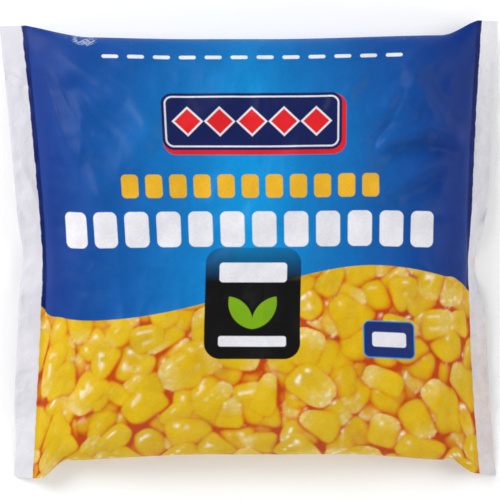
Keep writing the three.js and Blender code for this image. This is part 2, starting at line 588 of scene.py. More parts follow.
    def strip(self, side: int, w: Array, v: Array, is_face: bool) -> Array:
        """Works out points of a welded strip.

        The strip runs from the weld (w = 0) straight out to its cut edge (w = 1). It drops by the third side
        of the triangle of its true width and its width seen from above, and waves gently up and down.

        Args:
            side: -1 for the left strip, 1 for the right one.
            w: Share of the strip's width.
            v: Place between the corners, -1 to 1.
            is_face: Whether the points are on the face or on the back.

        Returns:
            Points (x, y, z), along the last axis.
        """
        form = self.left_strip if side < 0 else self.right_strip
        x, y = self.plan(np.full_like(v, side), v)
        out = self.strip_width * w
        seen = form.seen - form.waist * np.exp(-(((y - form.waist_y) / form.waist_length) ** 2))
        seen = seen - form.foot * smoothstep(y, *self.strip_foot)
        drop = np.sqrt(self.strip_width**2 - seen**2)
        wave = self.wave_height * np.sin(2 * math.pi * y / self.wave_length) * (1 - v * v)
        crumple = sum(
            height * (ridges(out, y + self.strip_lean * out, size, seed + side) - 0.5)
            for seed, (height, size) in enumerate(self.strip_crumples, start=31)
        )
        crumple = crumple * form.crumpled * w * (1 - v**8)
        crumple = crumple + sum(crease.relief(x + side * seen * w, y) for crease in self.strip_creases)
        edge_y = lerp(form.bottom_y, form.top_y, (v + 1) / 2)
        skin = np.where(w < 1, self.film_half * bulge(v, self.skin_power, self.round_root), 0)
        z = self.middle_height(np.full_like(v, side), v) - drop * w + wave * w
        z = np.maximum(0, z + crumple * np.minimum(1, 3 * w) + (skin if is_face else -skin))
        return np.stack([x + side * seen * w, lerp(y, edge_y, w), z], axis=-1)


@dataclass(frozen=True)
class Section:
    """A section through the pillow, with its film measured out from one end.

    Attributes:
        place: The places, from -1 to 1.
        length: The length of film from the start to each of them.
    """

    place: Array
    length: Array

    @classmethod
    def cut(cls, film: FilledFilm, is_along: bool, is_face: bool) -> "Section":
        """Measures the film along a section through the middle of the bag, without its fine relief.

        Args:
            film: The bag's surface.
            is_along: Whether the section runs along the bag, or across it.
            is_face: Whether it runs over the face or under the back.

        Returns:
            The section, with the running length of film at each place from -1 to 1.
        """
        place = np.linspace(-1, 1, SECTION_PLACES)
        u, v = (place, np.zeros_like(place)) if is_along else (np.zeros_like(place), place)
        x, y = film.plan(u, v)
        top = film.crown_height if is_face else 0.0
        z = lerp(film.middle_height(u, v), top, film.fullness(u, v, is_face))
        steps = np.sqrt(np.diff(x) ** 2 + np.diff(y) ** 2 + np.diff(z) ** 2)
        return cls(place, np.concatenate([[0], np.cumsum(steps)]))

    @property
    def total(self) -> float:
        """The film's whole length along the section."""
        return float(self.length[-1])

    def place_at(self, length: Array) -> Array:
        """Returns the place, from -1 to 1, that lies a length of film from the start."""
        return np.interp(length, self.length, self.place)

    def length_at(self, place: Array) -> Array:
        """Returns the length of film from the start to a place."""
        return np.interp(place, self.place, self.length)


# The printed picture of sweetcorn


@dataclass(frozen=True)
class KernelLayer:
    """One layer of printed kernels.

    Attributes:
        pitch: Their spacing.
        lift: How high they lie.
        stray: How far they stray from their places, as a share of the spacing.
        kept: The share of them that stays.
    """

    pitch: float
    lift: float
    stray: float
    kept: float


@dataclass(frozen=True)
class Kernels:
    """Kernels scattered over the print, one value of each kind for every kernel.

    Attributes:
        x: Place along the film.
        y: Place across the film.
        lift: Height of its foot.
        turn: Angle that it is turned by.
        half_width: Half its width.
        half_length: Half its length.
        thickness: Height above its foot.
        taper: How much wider its crown is than its middle, as a share.
        tint: Chance value from 0 to 1 that its tone and its bleached end go by.
        kind: Chance value from 0 to 1 that its form goes by.
    """

    x: Array
    y: Array
    lift: Array
    turn: Array
    half_width: Array
    half_length: Array
    thickness: Array
    taper: Array
    tint: Array
    kind: Array


@dataclass(frozen=True)
class Heap:
    """The heap of kernels seen from above, with what shows at each place of a fine grid.

    Attributes:
        x: Places along the film.
        y: Places across the film.
        top: Height of the heap.
        normal: Direction that the heap faces, along the first axis.
        tint: Tint of the kernel on top.
        bleach: How white that kernel is there.
        shine: How much it glints there.
    """

    x: Array
    y: Array
    top: Array
    normal: Array
    tint: Array
    bleach: Array
    shine: Array


@dataclass(frozen=True)
class Patches:
    """Soft patches, made from smooth bumps.

    Attributes:
        pitch: Spacing of the bumps.
        seed: Seed of the random numbers.
        start: The bump value at which a patch starts.
        stop: The bump value at which it is full.
    """

    pitch: float
    seed: int
    start: float
    stop: float

    def share(self, x: Array, y: Array) -> Array:
        """Returns how full the patches are at places."""
        return smoothstep(value_noise(x, y, self.pitch, self.seed), self.start, self.stop)


@dataclass(frozen=True)
class ToneShares:
    """What the picture's tone is made of, and how much of each.

    Attributes:
        base: The tone that all places start from.
        lit: Share of the light that a place catches.
        hollow: Share of how far it rises above its wide surroundings.
        rim: Share of how far it rises above its near surroundings.
        level: Share of how high it lies.
        shadow: Share of the shadow on it, which is taken off.
        tint: Share of its kernel's tint.
        cloud: Share of the soft clouds.
    """

    base: float = 0.22
    lit: float = 0.38
    hollow: float = 0.50
    rim: float = 0.38
    level: float = 0.28
    shadow: float = 0.34
    tint: float = 0.12
    cloud: float = 0.16


@dataclass(frozen=True)
class KernelPicture:
    """A picture of heaped sweetcorn, larger than life, painted as heights, light and tints on a fine grid.

    Each kernel is a rounded wedge. The picture keeps the highest one at each place, lights its surface from
    the upper left, darkens the gaps by how deep they lie below what is around them, and bleaches cut ends.

    Attributes:
        left: Where the picture starts along the film.
        right: Where it ends along the film.
        bottom: Where it starts across the film.
        top: Where it ends across the film.
        step: Side of one grid cell.
        row_share: Distance between rows, as a share of the spacing in a row.
        seed: Seed of the random numbers.
        light: Direction towards the light.
        layers: The layers of kernels, from the lowest one up.
        half_width: Half a kernel's width before it is sized, for wide and for narrow kernels.
        narrow_share: The share of narrow kernels.
        half_length: Half a kernel's length before it is sized.
        width_sizing: Least factor of a kernel's width, and how far it goes above that.
        length_sizing: The same for its length.
        thickness: Least thickness of a kernel, and how far it goes above that.
        taper: The same for its taper.
        lift: How far a kernel may lie above its layer.
        squareness: How square a kernel is, where 2 is an ellipse.
        shoulder: How sharply its sides fall, where 1 is a dome.
        ground: Height of the ground below the heap.
        plain_tint: Tint below which a kernel has no bleached end.
        dented_kind: Kind above which a kernel is dented, and below which it has a ridge.
        dent: The dent's depth, half width, place along the kernel and half length.
        ridge: How far the sides fall from the ridge, how much the kernel's kind moves it, the kind for which
            it runs down the middle, its slant, and how rounded it is.
        end_rise: How far the cut end rises, and the crown falls.
        cut_end: How much the kernel's kind widens the bleached end, where that ends, and how it fades.
        whiteness: How white the bleached end is, how much grain and blotches add, and the white of the rest.
        gloss: Strength of the glints on the dullest kind, and how far it goes above that.
        sparkle: Strength of the sparkles on a bleached end.
        grain_pitch: Spacing of the fine grain.
        blotches: Where a bleached end is whiter.
        glints: Where kernels glint.
        sparkles: Where bleached ends sparkle.
        cloud_pitches: Spacing of the wide and of the small clouds.
        room: Half side of the square in which a kernel is laid, as a share of its greater half size.
        nudge: Distance over which a slope is measured.
        steepest: Greatest slope.
        highlight_power: How sharp the glints are.
        wide: Reach of the wide surroundings, and the depth below them that counts in full.
        near: The same for the near surroundings.
        highest_rise: The most that a rise above its surroundings counts.
        levels: Heights between which the tone rises.
        shares: What the tone is made of.
        softness: How far the finished picture is blurred.
        shadow_reaches: Distances towards the light at which a shadow is looked for.
        shadow_fall: How steeply the line of light falls there, as a share of the light's own slope.
        shadow_depth: The depth below that line that counts in full.
        shadow_softness: How far the shadows are blurred.
    """

    left: float
    right: float
    bottom: float
    top: float
    step: float = 0.3
    row_share: float = 0.87
    seed: int = 11
    light: tuple[float, float, float] = (-0.34, 0.42, 0.84)
    layers: tuple[KernelLayer, ...] = (
        KernelLayer(17.2, 1.0, 0.30, 0.96),
        KernelLayer(18.8, 4.5, 0.42, 0.82),
        KernelLayer(23.5, 8.0, 0.42, 0.84),
    )
    half_width: Point = (10.4, 7.6)
    narrow_share: float = 0.3
    half_length: float = 11.2
    width_sizing: Point = (0.8, 0.42)
    length_sizing: Point = (0.82, 0.42)
    thickness: Point = (6.0, 1.8)
    taper: Point = (0.08, 0.40)
    lift: float = 2.6
    squareness: float = 3.5
    shoulder: float = 0.55
    ground: float = -4.0
    plain_tint: float = 0.38
    dented_kind: float = 0.55
    dent: tuple[float, float, float, float] = (0.12, 0.4, 0.2, 0.6)
    ridge: tuple[float, float, float, float, float] = (0.30, 0.9, 0.28, 0.2, 0.12)
    end_rise: float = 0.12
    cut_end: tuple[float, float, float] = (0.5, 0.35, 0.75)
    whiteness: tuple[float, float, float, float] = (0.2, 0.35, 0.5, 0.16)
    gloss: Point = (0.3, 0.9)
    sparkle: float = 0.5
    grain_pitch: float = 1.1
    blotches: Patches = Patches(3.1, 7, 0.25, 0.75)
    glints: Patches = Patches(2.6, 9, 0.42, 0.6)
    sparkles: Patches = Patches(1.3, 8, 0.76, 0.9)
    cloud_pitches: Point = (5.5, 2.4)
    room: float = 1.6
    nudge: float = 0.15
    steepest: float = 3.0
    highlight_power: float = 160.0
    wide: Point = (3.8, 4.2)
    near: Point = (1.1, 2.0)
    highest_rise: float = 0.3
    levels: Point = (1.0, 13.0)
    shares: ToneShares = ToneShares()
    softness: float = 0.3
    shadow_reaches: tuple[float, ...] = (1.2, 2.4, 3.6, 5.0, 6.5, 8.0)
    shadow_fall: float = 0.62
    shadow_depth: float = 2.5
    shadow_softness: float = 0.8

    def scatter(self) -> Kernels:
        """Scatters seeded kernels, layer by layer on a staggered grid, each one strayed, turned and sized.

        Returns:
            The kernels.
        """
        rng = np.random.default_rng(self.seed)
        rows = []
        for layer in self.layers:
            across = int((self.right - self.left) / layer.pitch) + 3
            up = int((self.top - self.bottom) / (layer.pitch * self.row_share)) + 3
            column, row = np.meshgrid(np.arange(across), np.arange(up))
            chance = rng.random((10, across * up))
            column = column.ravel() + 0.5 * (row.ravel() % 2) + (2 * chance[1] - 1) * layer.stray
            row = row.ravel() * self.row_share + (2 * chance[2] - 1) * layer.stray
            half_width = np.where(chance[3] > self.narrow_share, *self.half_width)
            made = Kernels(
                x=self.left + (column - 1) * layer.pitch,
                y=self.bottom + (row - 1) * layer.pitch,
                lift=layer.lift + self.lift * chance[5],
                turn=2 * math.pi * chance[6],
                half_width=half_width * ranged(chance[4], *self.width_sizing),
                half_length=self.half_length * ranged(chance[7], *self.length_sizing),
                thickness=ranged(chance[3], *self.thickness),
                taper=ranged(chance[8], *self.taper),
                tint=chance[9],
                kind=(chance[4] + chance[8]) % 1,
            )
            rows.append(np.array(list(vars(made).values()))[:, chance[0] < layer.kept])
        return Kernels(*np.concatenate(rows, axis=1))

    def kernel_height(self, kernels: Kernels, i: int, x: Array, y: Array) -> tuple[Array, Array]:
        """Works out one kernel's surface.

        In its own turned axes the kernel is a rounded wedge: r = (|p|^k + |q|^k)^(1/k) for the squareness k,
        where p is widened by the taper along q. Its height is lift + thickness * (1 - r^k)^shoulder, less a
        dent and a fall to both sides of a ridge.

        Args:
            kernels: The scattered kernels.
            i: Which kernel.
            x: Places along the film.
            y: Places across the film.

        Returns:
            The height, very low outside the kernel, and q, from -1 at its cut end to 1 at its crown.
        """
        dx, dy = x - kernels.x[i], y - kernels.y[i]
        cosine, sine = math.cos(kernels.turn[i]), math.sin(kernels.turn[i])
        q = (dy * cosine - dx * sine) / kernels.half_length[i]
        widened = kernels.half_width[i] * (1 + kernels.taper[i] * np.clip(q, -1.1, 1.1))
        p = (dx * cosine + dy * sine) / widened
        r = (np.abs(p) ** self.squareness + np.abs(q) ** self.squareness) ** (1 / self.squareness)
        height = np.clip(1 - r**self.squareness, 0, None) ** self.shoulder - self.end_rise * q
        kind = kernels.kind[i]
        if kind > self.dented_kind:
            depth, width, place, length = self.dent
            height = height - depth * np.exp(-((p / width) ** 2) - ((q - place) / length) ** 2)
        else:
            fall, moved, middle_kind, slant, rounding = self.ridge
            height = height - fall * np.hypot(p - moved * (kind - middle_kind) - slant * q, rounding)
        return np.where(r < 1, kernels.lift[i] + kernels.thickness[i] * height, FAR_BELOW), q

    def lay_kernel(self, heap: Heap, kernels: Kernels, i: int) -> None:
        """Lays one kernel on the heap, where it is higher than what lies there.

        Its glints are the power of how nearly it faces half way between the light and the eye, broken up by
        soft bumps. Its cut end is bleached in blotches, with sparkles.

        Args:
            heap: The heap, which is changed.
            kernels: The scattered kernels.
            i: Which kernel.
        """
        reach = self.room * max(kernels.half_width[i], kernels.half_length[i])
        low_x, high_x = ((kernels.x[i] + side * reach - self.left) / self.step for side in (-1, 1))
        low_y, high_y = ((kernels.y[i] + side * reach - self.bottom) / self.step for side in (-1, 1))
        spans = ((low_y, high_y), (low_x, high_x))
        part = tuple(slice(max(0, int(low)), max(0, int(high))) for low, high in spans)
        x, y = heap.x[part], heap.y[part]
        if not x.size:
            return
        height, q = self.kernel_height(kernels, i, x, y)
        moved = [self.kernel_height(kernels, i, *to)[0] for to in ((x + self.nudge, y), (x, y + self.nudge))]
        slopes = [np.clip((m - height) / self.nudge, -self.steepest, self.steepest) for m in moved]
        facing = np.stack([-slopes[0], -slopes[1], np.ones_like(x)])
        facing /= np.linalg.norm(facing, axis=0)
        kind, is_bleached = kernels.kind[i], kernels.tint[i] > self.plain_tint
        grain, blotch = value_noise(x, y, self.grain_pitch, 5), self.blotches.share(x, y)
        wider, end, fade = self.cut_end
        cut_end = np.clip((wider * kind - end - q) / fade, 0, 1)
        glint = np.clip(np.tensordot(self.half_way, facing, 1), 0, 1) ** self.highlight_power
        glint = glint * ranged(kind, *self.gloss) * self.glints.share(x, y)
        sparkle = self.sparkle * cut_end * self.sparkles.share(x, y)
        glint = np.maximum(glint, sparkle * is_bleached)
        white, by_grain, by_blotch, of_rest = self.whiteness
        whitened = cut_end * is_bleached * (white + by_grain * grain + by_blotch * blotch)
        whitened = whitened + of_rest * grain * blotch * kind

        is_over = height > heap.top[part]
        heap.top[part] = np.where(is_over, height, heap.top[part])
        heap.normal[(slice(None), *part)] = np.where(is_over, facing, heap.normal[(slice(None), *part)])
        heap.tint[part] = np.where(is_over, kernels.tint[i], heap.tint[part])
        heap.bleach[part] = np.where(is_over, whitened, heap.bleach[part])
        heap.shine[part] = np.where(is_over, glint, heap.shine[part])

    @property
    def towards_light(self) -> Array:
        """The direction towards the light, of length 1."""
        return np.array(self.light) / np.linalg.norm(self.light)

    @property
    def half_way(self) -> Array:
        """The direction half way between the light and the eye straight above, of length 1."""
        between = self.towards_light + np.array([0, 0, 1])
        return between / np.linalg.norm(between)

    def paint(self) -> Array:
        """Paints the picture.

        The tone adds up how much light the heap catches, how far it rises above its near and its wide
        surroundings, and how high it lies, less the shadows. Each kernel's tint and soft clouds vary it.

        Returns:
            Tone, bleach and shine at each grid place, each from 0 to 1, along the last axis.
        """
        x, y = np.meshgrid(
            np.arange(self.left, self.right, self.step), np.arange(self.bottom, self.top, self.step)
        )
        up = np.zeros((3, *x.shape))
        up[2] = 1
        heap = Heap(x, y, np.full(x.shape, self.ground), up, *(np.zeros(x.shape) for _ in range(3)))
        kernels = self.scatter()
        for i in range(len(kernels.x)):
            self.lay_kernel(heap, kernels, i)
        lit = np.clip(np.tensordot(self.towards_light, heap.normal, 1), 0, 1)
        hollow, rim = (
            np.clip((heap.top - blurred(heap.top, reach / self.step)) / depth, -1, self.highest_rise)
            for reach, depth in (self.wide, self.near)
        )
        level = smoothstep(heap.top, *self.levels)
        wide, small = self.cloud_pitches
        cloud = value_noise(x, y, wide, 12) + 0.5 * value_noise(x, y, small, 13) - 0.75
        shares = self.shares
        tone = shares.base + shares.lit * lit + shares.hollow * hollow + shares.rim * rim
        tone = tone + shares.level * level - shares.shadow * self.shadow(heap.top)
        tone = tone + shares.tint * (heap.tint - 0.5) + shares.cloud * cloud
        pictures = [np.clip(p, 0, 1) for p in (tone, heap.bleach, heap.shine)]
        return np.stack([blurred(p, self.softness / self.step) for p in pictures], axis=-1)

    def shadow(self, top: Array) -> Array:
        """Works out the soft shadows that the kernels cast on each other.

        A place is in shadow by how far the surface some way towards the light rises above the line of light
        through the place. The deepest of several such steps counts, and the result is softened.

        Args:
            top: The heap's surface.

        Returns:
            The shadow, from 0 to 1.
        """
        light = self.towards_light
        flat = math.hypot(light[0], light[1])
        deepest = np.zeros_like(top)
        for reach in self.shadow_reaches:
            across, up = (round(reach * light[axis] / flat / self.step) for axis in (0, 1))
            towards = np.roll(top, (-up, -across), axis=(0, 1))
            deepest = np.maximum(deepest, towards - top - reach * light[2] / flat * self.shadow_fall)
        return blurred(np.clip(deepest / self.shadow_depth, 0, 1), self.shadow_softness / self.step)

    def sample(self, s: Array, t: Array) -> Array:
        """Reads the picture's three values off at places on the film, from the four nearest grid places.

        Args:
            s: Places along the film.
            t: Places across the film.

        Returns:
            Tone, bleach and shine at each place, along the last axis.
        """
        picture = self.paint()
        column = np.clip((s - self.left) / self.step, 0, picture.shape[1] - 1.001)
        row = np.clip((t - self.bottom) / self.step, 0, picture.shape[0] - 1.001)
        i, j = column.astype(int), row.astype(int)
        fx, fy = (column - i)[..., None], (row - j)[..., None]
        low = lerp(picture[j, i], picture[j, i + 1], fx)
        return lerp(low, lerp(picture[j + 1, i], picture[j + 1, i + 1], fx), fy)


# Materials


class Ink(Enum):
    """The colours of the print and the film, some of them painted shade or painted light, as 8-bit display
    values.
    """

    NAVY = (20, 30, 82)
    # WELD_BLUE: deeper blue for the crimped bands, and painted shade at the right end of the blue
    WELD_BLUE = (8, 42, 116)
    # WELD_NAVY_SHADE: the dark band along the welds, partly print and partly painted shade of the welds'
    # creases
    WELD_NAVY_SHADE = (2, 22, 94)
    DEEP_BLUE = (16, 54, 132)
    MID_BLUE = (16, 88, 162)
    BRIGHT_BLUE = (12, 122, 192)
    BEAM_BLUE = (8, 144, 212)
    GOLD = (222, 170, 40)
    RED = (214, 34, 40)
    WHITE = (222, 222, 228)
    BLACK = (14, 13, 14)
    GREEN = (118, 165, 20)
    LABEL_BLUE = (25, 45, 110)
    LABEL_RIM = (44, 138, 206)
    KERNEL_GAP = (182, 64, 12)
    KERNEL_SHADE = (197, 100, 12)
    KERNEL_LOW = (205, 140, 10)
    KERNEL_BODY = (211, 168, 10)
    KERNEL_LIGHT = (214, 177, 24)
    KERNEL_CUT = (222, 198, 130)
    KERNEL_GLINT = (252, 246, 228)
    BARE_FILM = (221, 220, 226)
    # BARE_SHADE: the strips' grey, for random clouds and for painted shade high on the left strip
    BARE_SHADE = (209, 208, 216)
    # BARE_PAINTED_LIGHT: painted light high on the right strip
    BARE_PAINTED_LIGHT = (238, 237, 242)
    WARM_FILM = (220, 194, 176)
    SCUFF = (205, 214, 226)
    GREY = (150, 154, 164)

    @property
    def linear(self) -> tuple[float, float, float, float]:
        """The colour in linear light: c / 12.92 for a dark value c, or else ((c + 0.055) / 1.055)^2.4."""
        values = (v / 255 for v in self.value)
        return (*(c / 12.92 if c < 0.04045 else ((c + 0.055) / 1.055) ** 2.4 for c in values), 1.0)


@dataclass(frozen=True)
class Grain:
    """A soft random pattern.

    Attributes:
        scale: Bumps to a metre.
        detail: How many finer layers lie on top.
        roughness: How strong those layers are.
    """

    scale: float
    detail: float = 2
    roughness: float = 0.5


class Wiring:
    """Builds the node tree of one material, or of the surroundings, with short calls."""

    def __init__(self, owner: bpy.types.Material | bpy.types.World) -> None:
        """Empties the owner's tree.

        Args:
            owner: The material or the surroundings.
        """
        owner.use_nodes = True
        self.tree = owner.node_tree
        self.tree.nodes.clear()

    def node(self, kind: str, **settings: object) -> bpy.types.Node:
        """Adds a node.

        Args:
            kind: The node's type.
            **settings: Values for the node's own settings.

        Returns:
            The node.
        """
        made = self.tree.nodes.new(kind)
        for name, value in settings.items():
            setattr(made, name, value)
        return made

    def feed(self, socket: Socket, value: Value) -> None:
        """Links a socket into another, or sets it to a plain value.

        Args:
            socket: The socket to feed.
            value: The socket to link from, or the value.
        """
        if isinstance(value, bpy.types.NodeSocket):
            self.tree.links.new(value, socket)
        else:
            socket.default_value = value

    def math(self, operation: str, *values: Value) -> Socket:
        """Adds one sum.

        Args:
            operation: The sum's name.
            *values: Its one, two or three values.

        Returns:
            The result.
        """
        made = self.node("ShaderNodeMath", operation=operation)
        for socket, value in zip(made.inputs, values):
            self.feed(socket, value)
        return made.outputs[0]

    def mix(self, share: Value, under: Value, over: Value) -> Socket:
        """Mixes two colours.

        Args:
            share: The share of the second colour, held to 0 to 1.
            under: The first colour.
            over: The second colour.

        Returns:
            The mixed colour.
        """
        made = self.node("ShaderNodeMix", data_type="RGBA", clamp_factor=True)
        self.feed(made.inputs[0], share)
        self.feed(made.inputs[6], under)
        self.feed(made.inputs[7], over)
        return made.outputs[2]

    def scaled(self, colour: Socket, factor: Socket) -> Socket:
        """Makes a colour lighter or darker.

        Args:
            colour: The colour.
            factor: What it is multiplied by.

        Returns:
            The new colour.
        """
        made = self.node("ShaderNodeVectorMath", operation="SCALE")
        self.feed(made.inputs[0], colour)
        self.feed(made.inputs["Scale"], factor)
        return made.outputs[0]

    def ramp(self, share: Value, stops: list[tuple[float, Value]]) -> Socket:
        """Picks a colour from a row of colours, mixed evenly between them.

        Args:
            share: Where to pick it, from 0 to 1.
            stops: Place and colour of each stop, from the lowest place up.

        Returns:
            The colour.
        """
        made = self.node("ShaderNodeValToRGB")
        elements = made.color_ramp.elements
        while len(elements) < len(stops):
            elements.new(0.5)
        for element, (place, colour) in zip(elements, stops):
            element.position, element.color = place, colour
        self.feed(made.inputs[0], share)
        return made.outputs[0]

    def span(self, value: Value, low: float, high: float, start: float = 0, stop: float = 1) -> Socket:
        """Turns one range of values into another, held at both ends.

        Args:
            value: The value.
            low: The value that gives start.
            high: The value that gives stop.
            start: The result at low.
            stop: The result at high.

        Returns:
            The result.
        """
        made = self.node("ShaderNodeMapRange", clamp=True)
        for socket, given in zip(made.inputs, (value, low, high, start, stop)):
            self.feed(socket, given)
        return made.outputs[0]

    def noise(self, place: Socket, grain: Grain) -> Socket:
        """Adds a soft random pattern.

        Args:
            place: Places in metres.
            grain: The pattern's scale, detail and roughness.

        Returns:
            The pattern, from 0 to 1.
        """
        made = self.node("ShaderNodeTexNoise")
        self.feed(made.inputs["Vector"], place)
        self.feed(made.inputs["Scale"], grain.scale)
        self.feed(made.inputs["Detail"], grain.detail)
        self.feed(made.inputs["Roughness"], grain.roughness)
        return made.outputs[0]

    def bump(self, height: Socket, distance: float, strength: Value, normal: Socket | None = None) -> Socket:
        """Tilts the surface's normal by a fine relief.

        Args:
            height: The relief, from 0 to 1.
            distance: The relief's real height, in metres.
            strength: How much of it shows.
            normal: The normal to tilt, where it isn't the surface's own.

        Returns:
            The tilted normal.
        """
        made = self.node("ShaderNodeBump")
        self.feed(made.inputs["Height"], height)
        self.feed(made.inputs["Distance"], distance)
        self.feed(made.inputs["Strength"], strength)
        if normal is not None:
            self.feed(made.inputs["Normal"], normal)
        return made.outputs[0]

    def inside(self, distance: Socket, soft: float = 0.25) -> Socket:
        """Returns 1 inside an outline and 0 outside it, from the signed distance, with a soft edge."""
        return self.span(distance, -soft, soft, 1, 0)

    def finish(self, kind: str, shader: bpy.types.Node) -> None:
        """Links a shader to the tree's output, of the kind given."""
        self.feed(self.node(kind).inputs["Surface"], shader.outputs[0])


@dataclass(frozen=True)
class Spot:
    """The spot of film that a material colours.

    Attributes:
        wiring: The material's tree.
        place: Object coordinates, in metres.
        s: Place along the film.
        t: Place across the film.
    """

    wiring: Wiring
    place: Socket
    s: Socket
    t: Socket


@dataclass(frozen=True)
class Fade:
    """A share that grows from nothing at one place to its most at another, and is held beyond both.

    Attributes:
        start: Place of the last nothing.
        stop: Place from which it is at its most.
        most: The greatest share.
    """

    start: float
    stop: float
    most: float = 1.0

    def share(self, wiring: Wiring, place: Socket) -> Socket:
        """Returns the share at a place."""
        return wiring.span(place, self.start, self.stop, 0, self.most)


@dataclass(frozen=True)
class Panel:
    """A printed shape with rounded corners.

    Attributes:
        s: Its middle along the film.
        t: Its middle across the film.
        half_width: Half its width.
        half_height: Half its height.
        corner: Radius of its corners.
    """

    s: float
    t: float
    half_width: float
    half_height: float
    corner: float

    def distance(self, spot: Spot) -> Socket:
        """Builds the signed distance from the panel's outline.

        With q = |place - centre| - (half size - corner), the distance is the length of q's positive part,
        plus the larger of q's two values where both are negative, less the corner's radius.

        Args:
            spot: The spot of film.

        Returns:
            The distance, negative inside.
        """
        m = spot.wiring.math
        sides = ((spot.s, self.s, self.half_width), (spot.t, self.t, self.half_height))
        q = [
            m("SUBTRACT", m("ABSOLUTE", m("SUBTRACT", place, centre)), half - self.corner)
            for place, centre, half in sides
        ]
        outer = [m("MAXIMUM", value, 0.0) for value in q]
        length = m("SQRT", m("ADD", m("MULTIPLY", outer[0], outer[0]), m("MULTIPLY", outer[1], outer[1])))
        inner = m("MINIMUM", m("MAXIMUM", *q), 0.0)
        return m("SUBTRACT", m("ADD", length, inner), self.corner)

    def lozenge_distance(self, spot: Spot) -> Socket:
        """Builds the signed distance from a square that stands on its corner: (|s| + |t|) / sqrt(2) - half.

        Args:
            spot: The spot of film.

        Returns:
            The distance, negative inside.
        """
        m = spot.wiring.math
        across, up = (m("ABSOLUTE", m("SUBTRACT", *pair)) for pair in ((spot.s, self.s), (spot.t, self.t)))
        return m("SUBTRACT", m("MULTIPLY", m("ADD", across, up), math.sqrt(0.5)), self.half_width)


@dataclass(frozen=True)
class PanelRow:
    """A row of equal printed shapes, evenly spaced along the film.

    Attributes:
        panel: The shape, with its place at the row's middle.
        count: How many there are.
        pitch: Their spacing.
    """

    panel: Panel
    count: int
    pitch: float

    def nearest(self, spot: Spot) -> Spot:
        """Moves a spot by whole steps of the row, held to the row's own count, to beside the middle shape.

        Args:
            spot: The spot of film.

        Returns:
            The moved spot.
        """
        m = spot.wiring.math
        half = (self.count - 1) / 2
        steps = m("DIVIDE", m("SUBTRACT", spot.s, self.panel.s), self.pitch)
        nearest = m("ADD", m("ROUND", m("SUBTRACT", steps, half % 1)), half % 1)
        nearest = m("MAXIMUM", m("MINIMUM", nearest, half), -half)
        return replace(spot, s=m("SUBTRACT", spot.s, m("MULTIPLY", nearest, self.pitch)))

    def distance(self, spot: Spot) -> Socket:
        """Returns the signed distance from the nearest shape's outline."""
        return self.panel.distance(self.nearest(spot))


@dataclass(frozen=True)
class Leaf:
    """One leaf of the printed sprout: what two equal circles share, to either side of its slanting axis.

    Attributes:
        foot: Where both leaves start, above the badge's middle.
        slant: Angle between its axis and the upright.
        half_length: Half its length.
        half_width: Half its greatest width.
    """

    foot: float = -14.0
    slant: float = math.radians(36)
    half_length: float = 11.0
    half_width: float = 4.9

    def distance(self, spot: Spot, badge: Panel, side: int) -> Socket:
        """Builds the signed distance from the leaf's outline: the farther circle's distance.

        Args:
            spot: The spot of film.
            badge: The badge that it is printed on.
            side: -1 for the left leaf, 1 for the right one.

        Returns:
            The distance, negative inside.
        """
        m = spot.wiring.math
        across = (math.cos(self.slant), -side * math.sin(self.slant))
        centre_s = badge.s + side * self.half_length * math.sin(self.slant)
        centre_t = badge.t + self.foot + self.half_length * math.cos(self.slant)
        radius = (self.half_length**2 + self.half_width**2) / (2 * self.half_width)
        reaches = []
        for way in (-1, 1):
            ds = m("SUBTRACT", spot.s, centre_s + way * (radius - self.half_width) * across[0])
            dt = m("SUBTRACT", spot.t, centre_t + way * (radius - self.half_width) * across[1])
            reaches.append(m("SQRT", m("ADD", m("MULTIPLY", ds, ds), m("MULTIPLY", dt, dt))))
        return m("SUBTRACT", m("MAXIMUM", *reaches), radius)


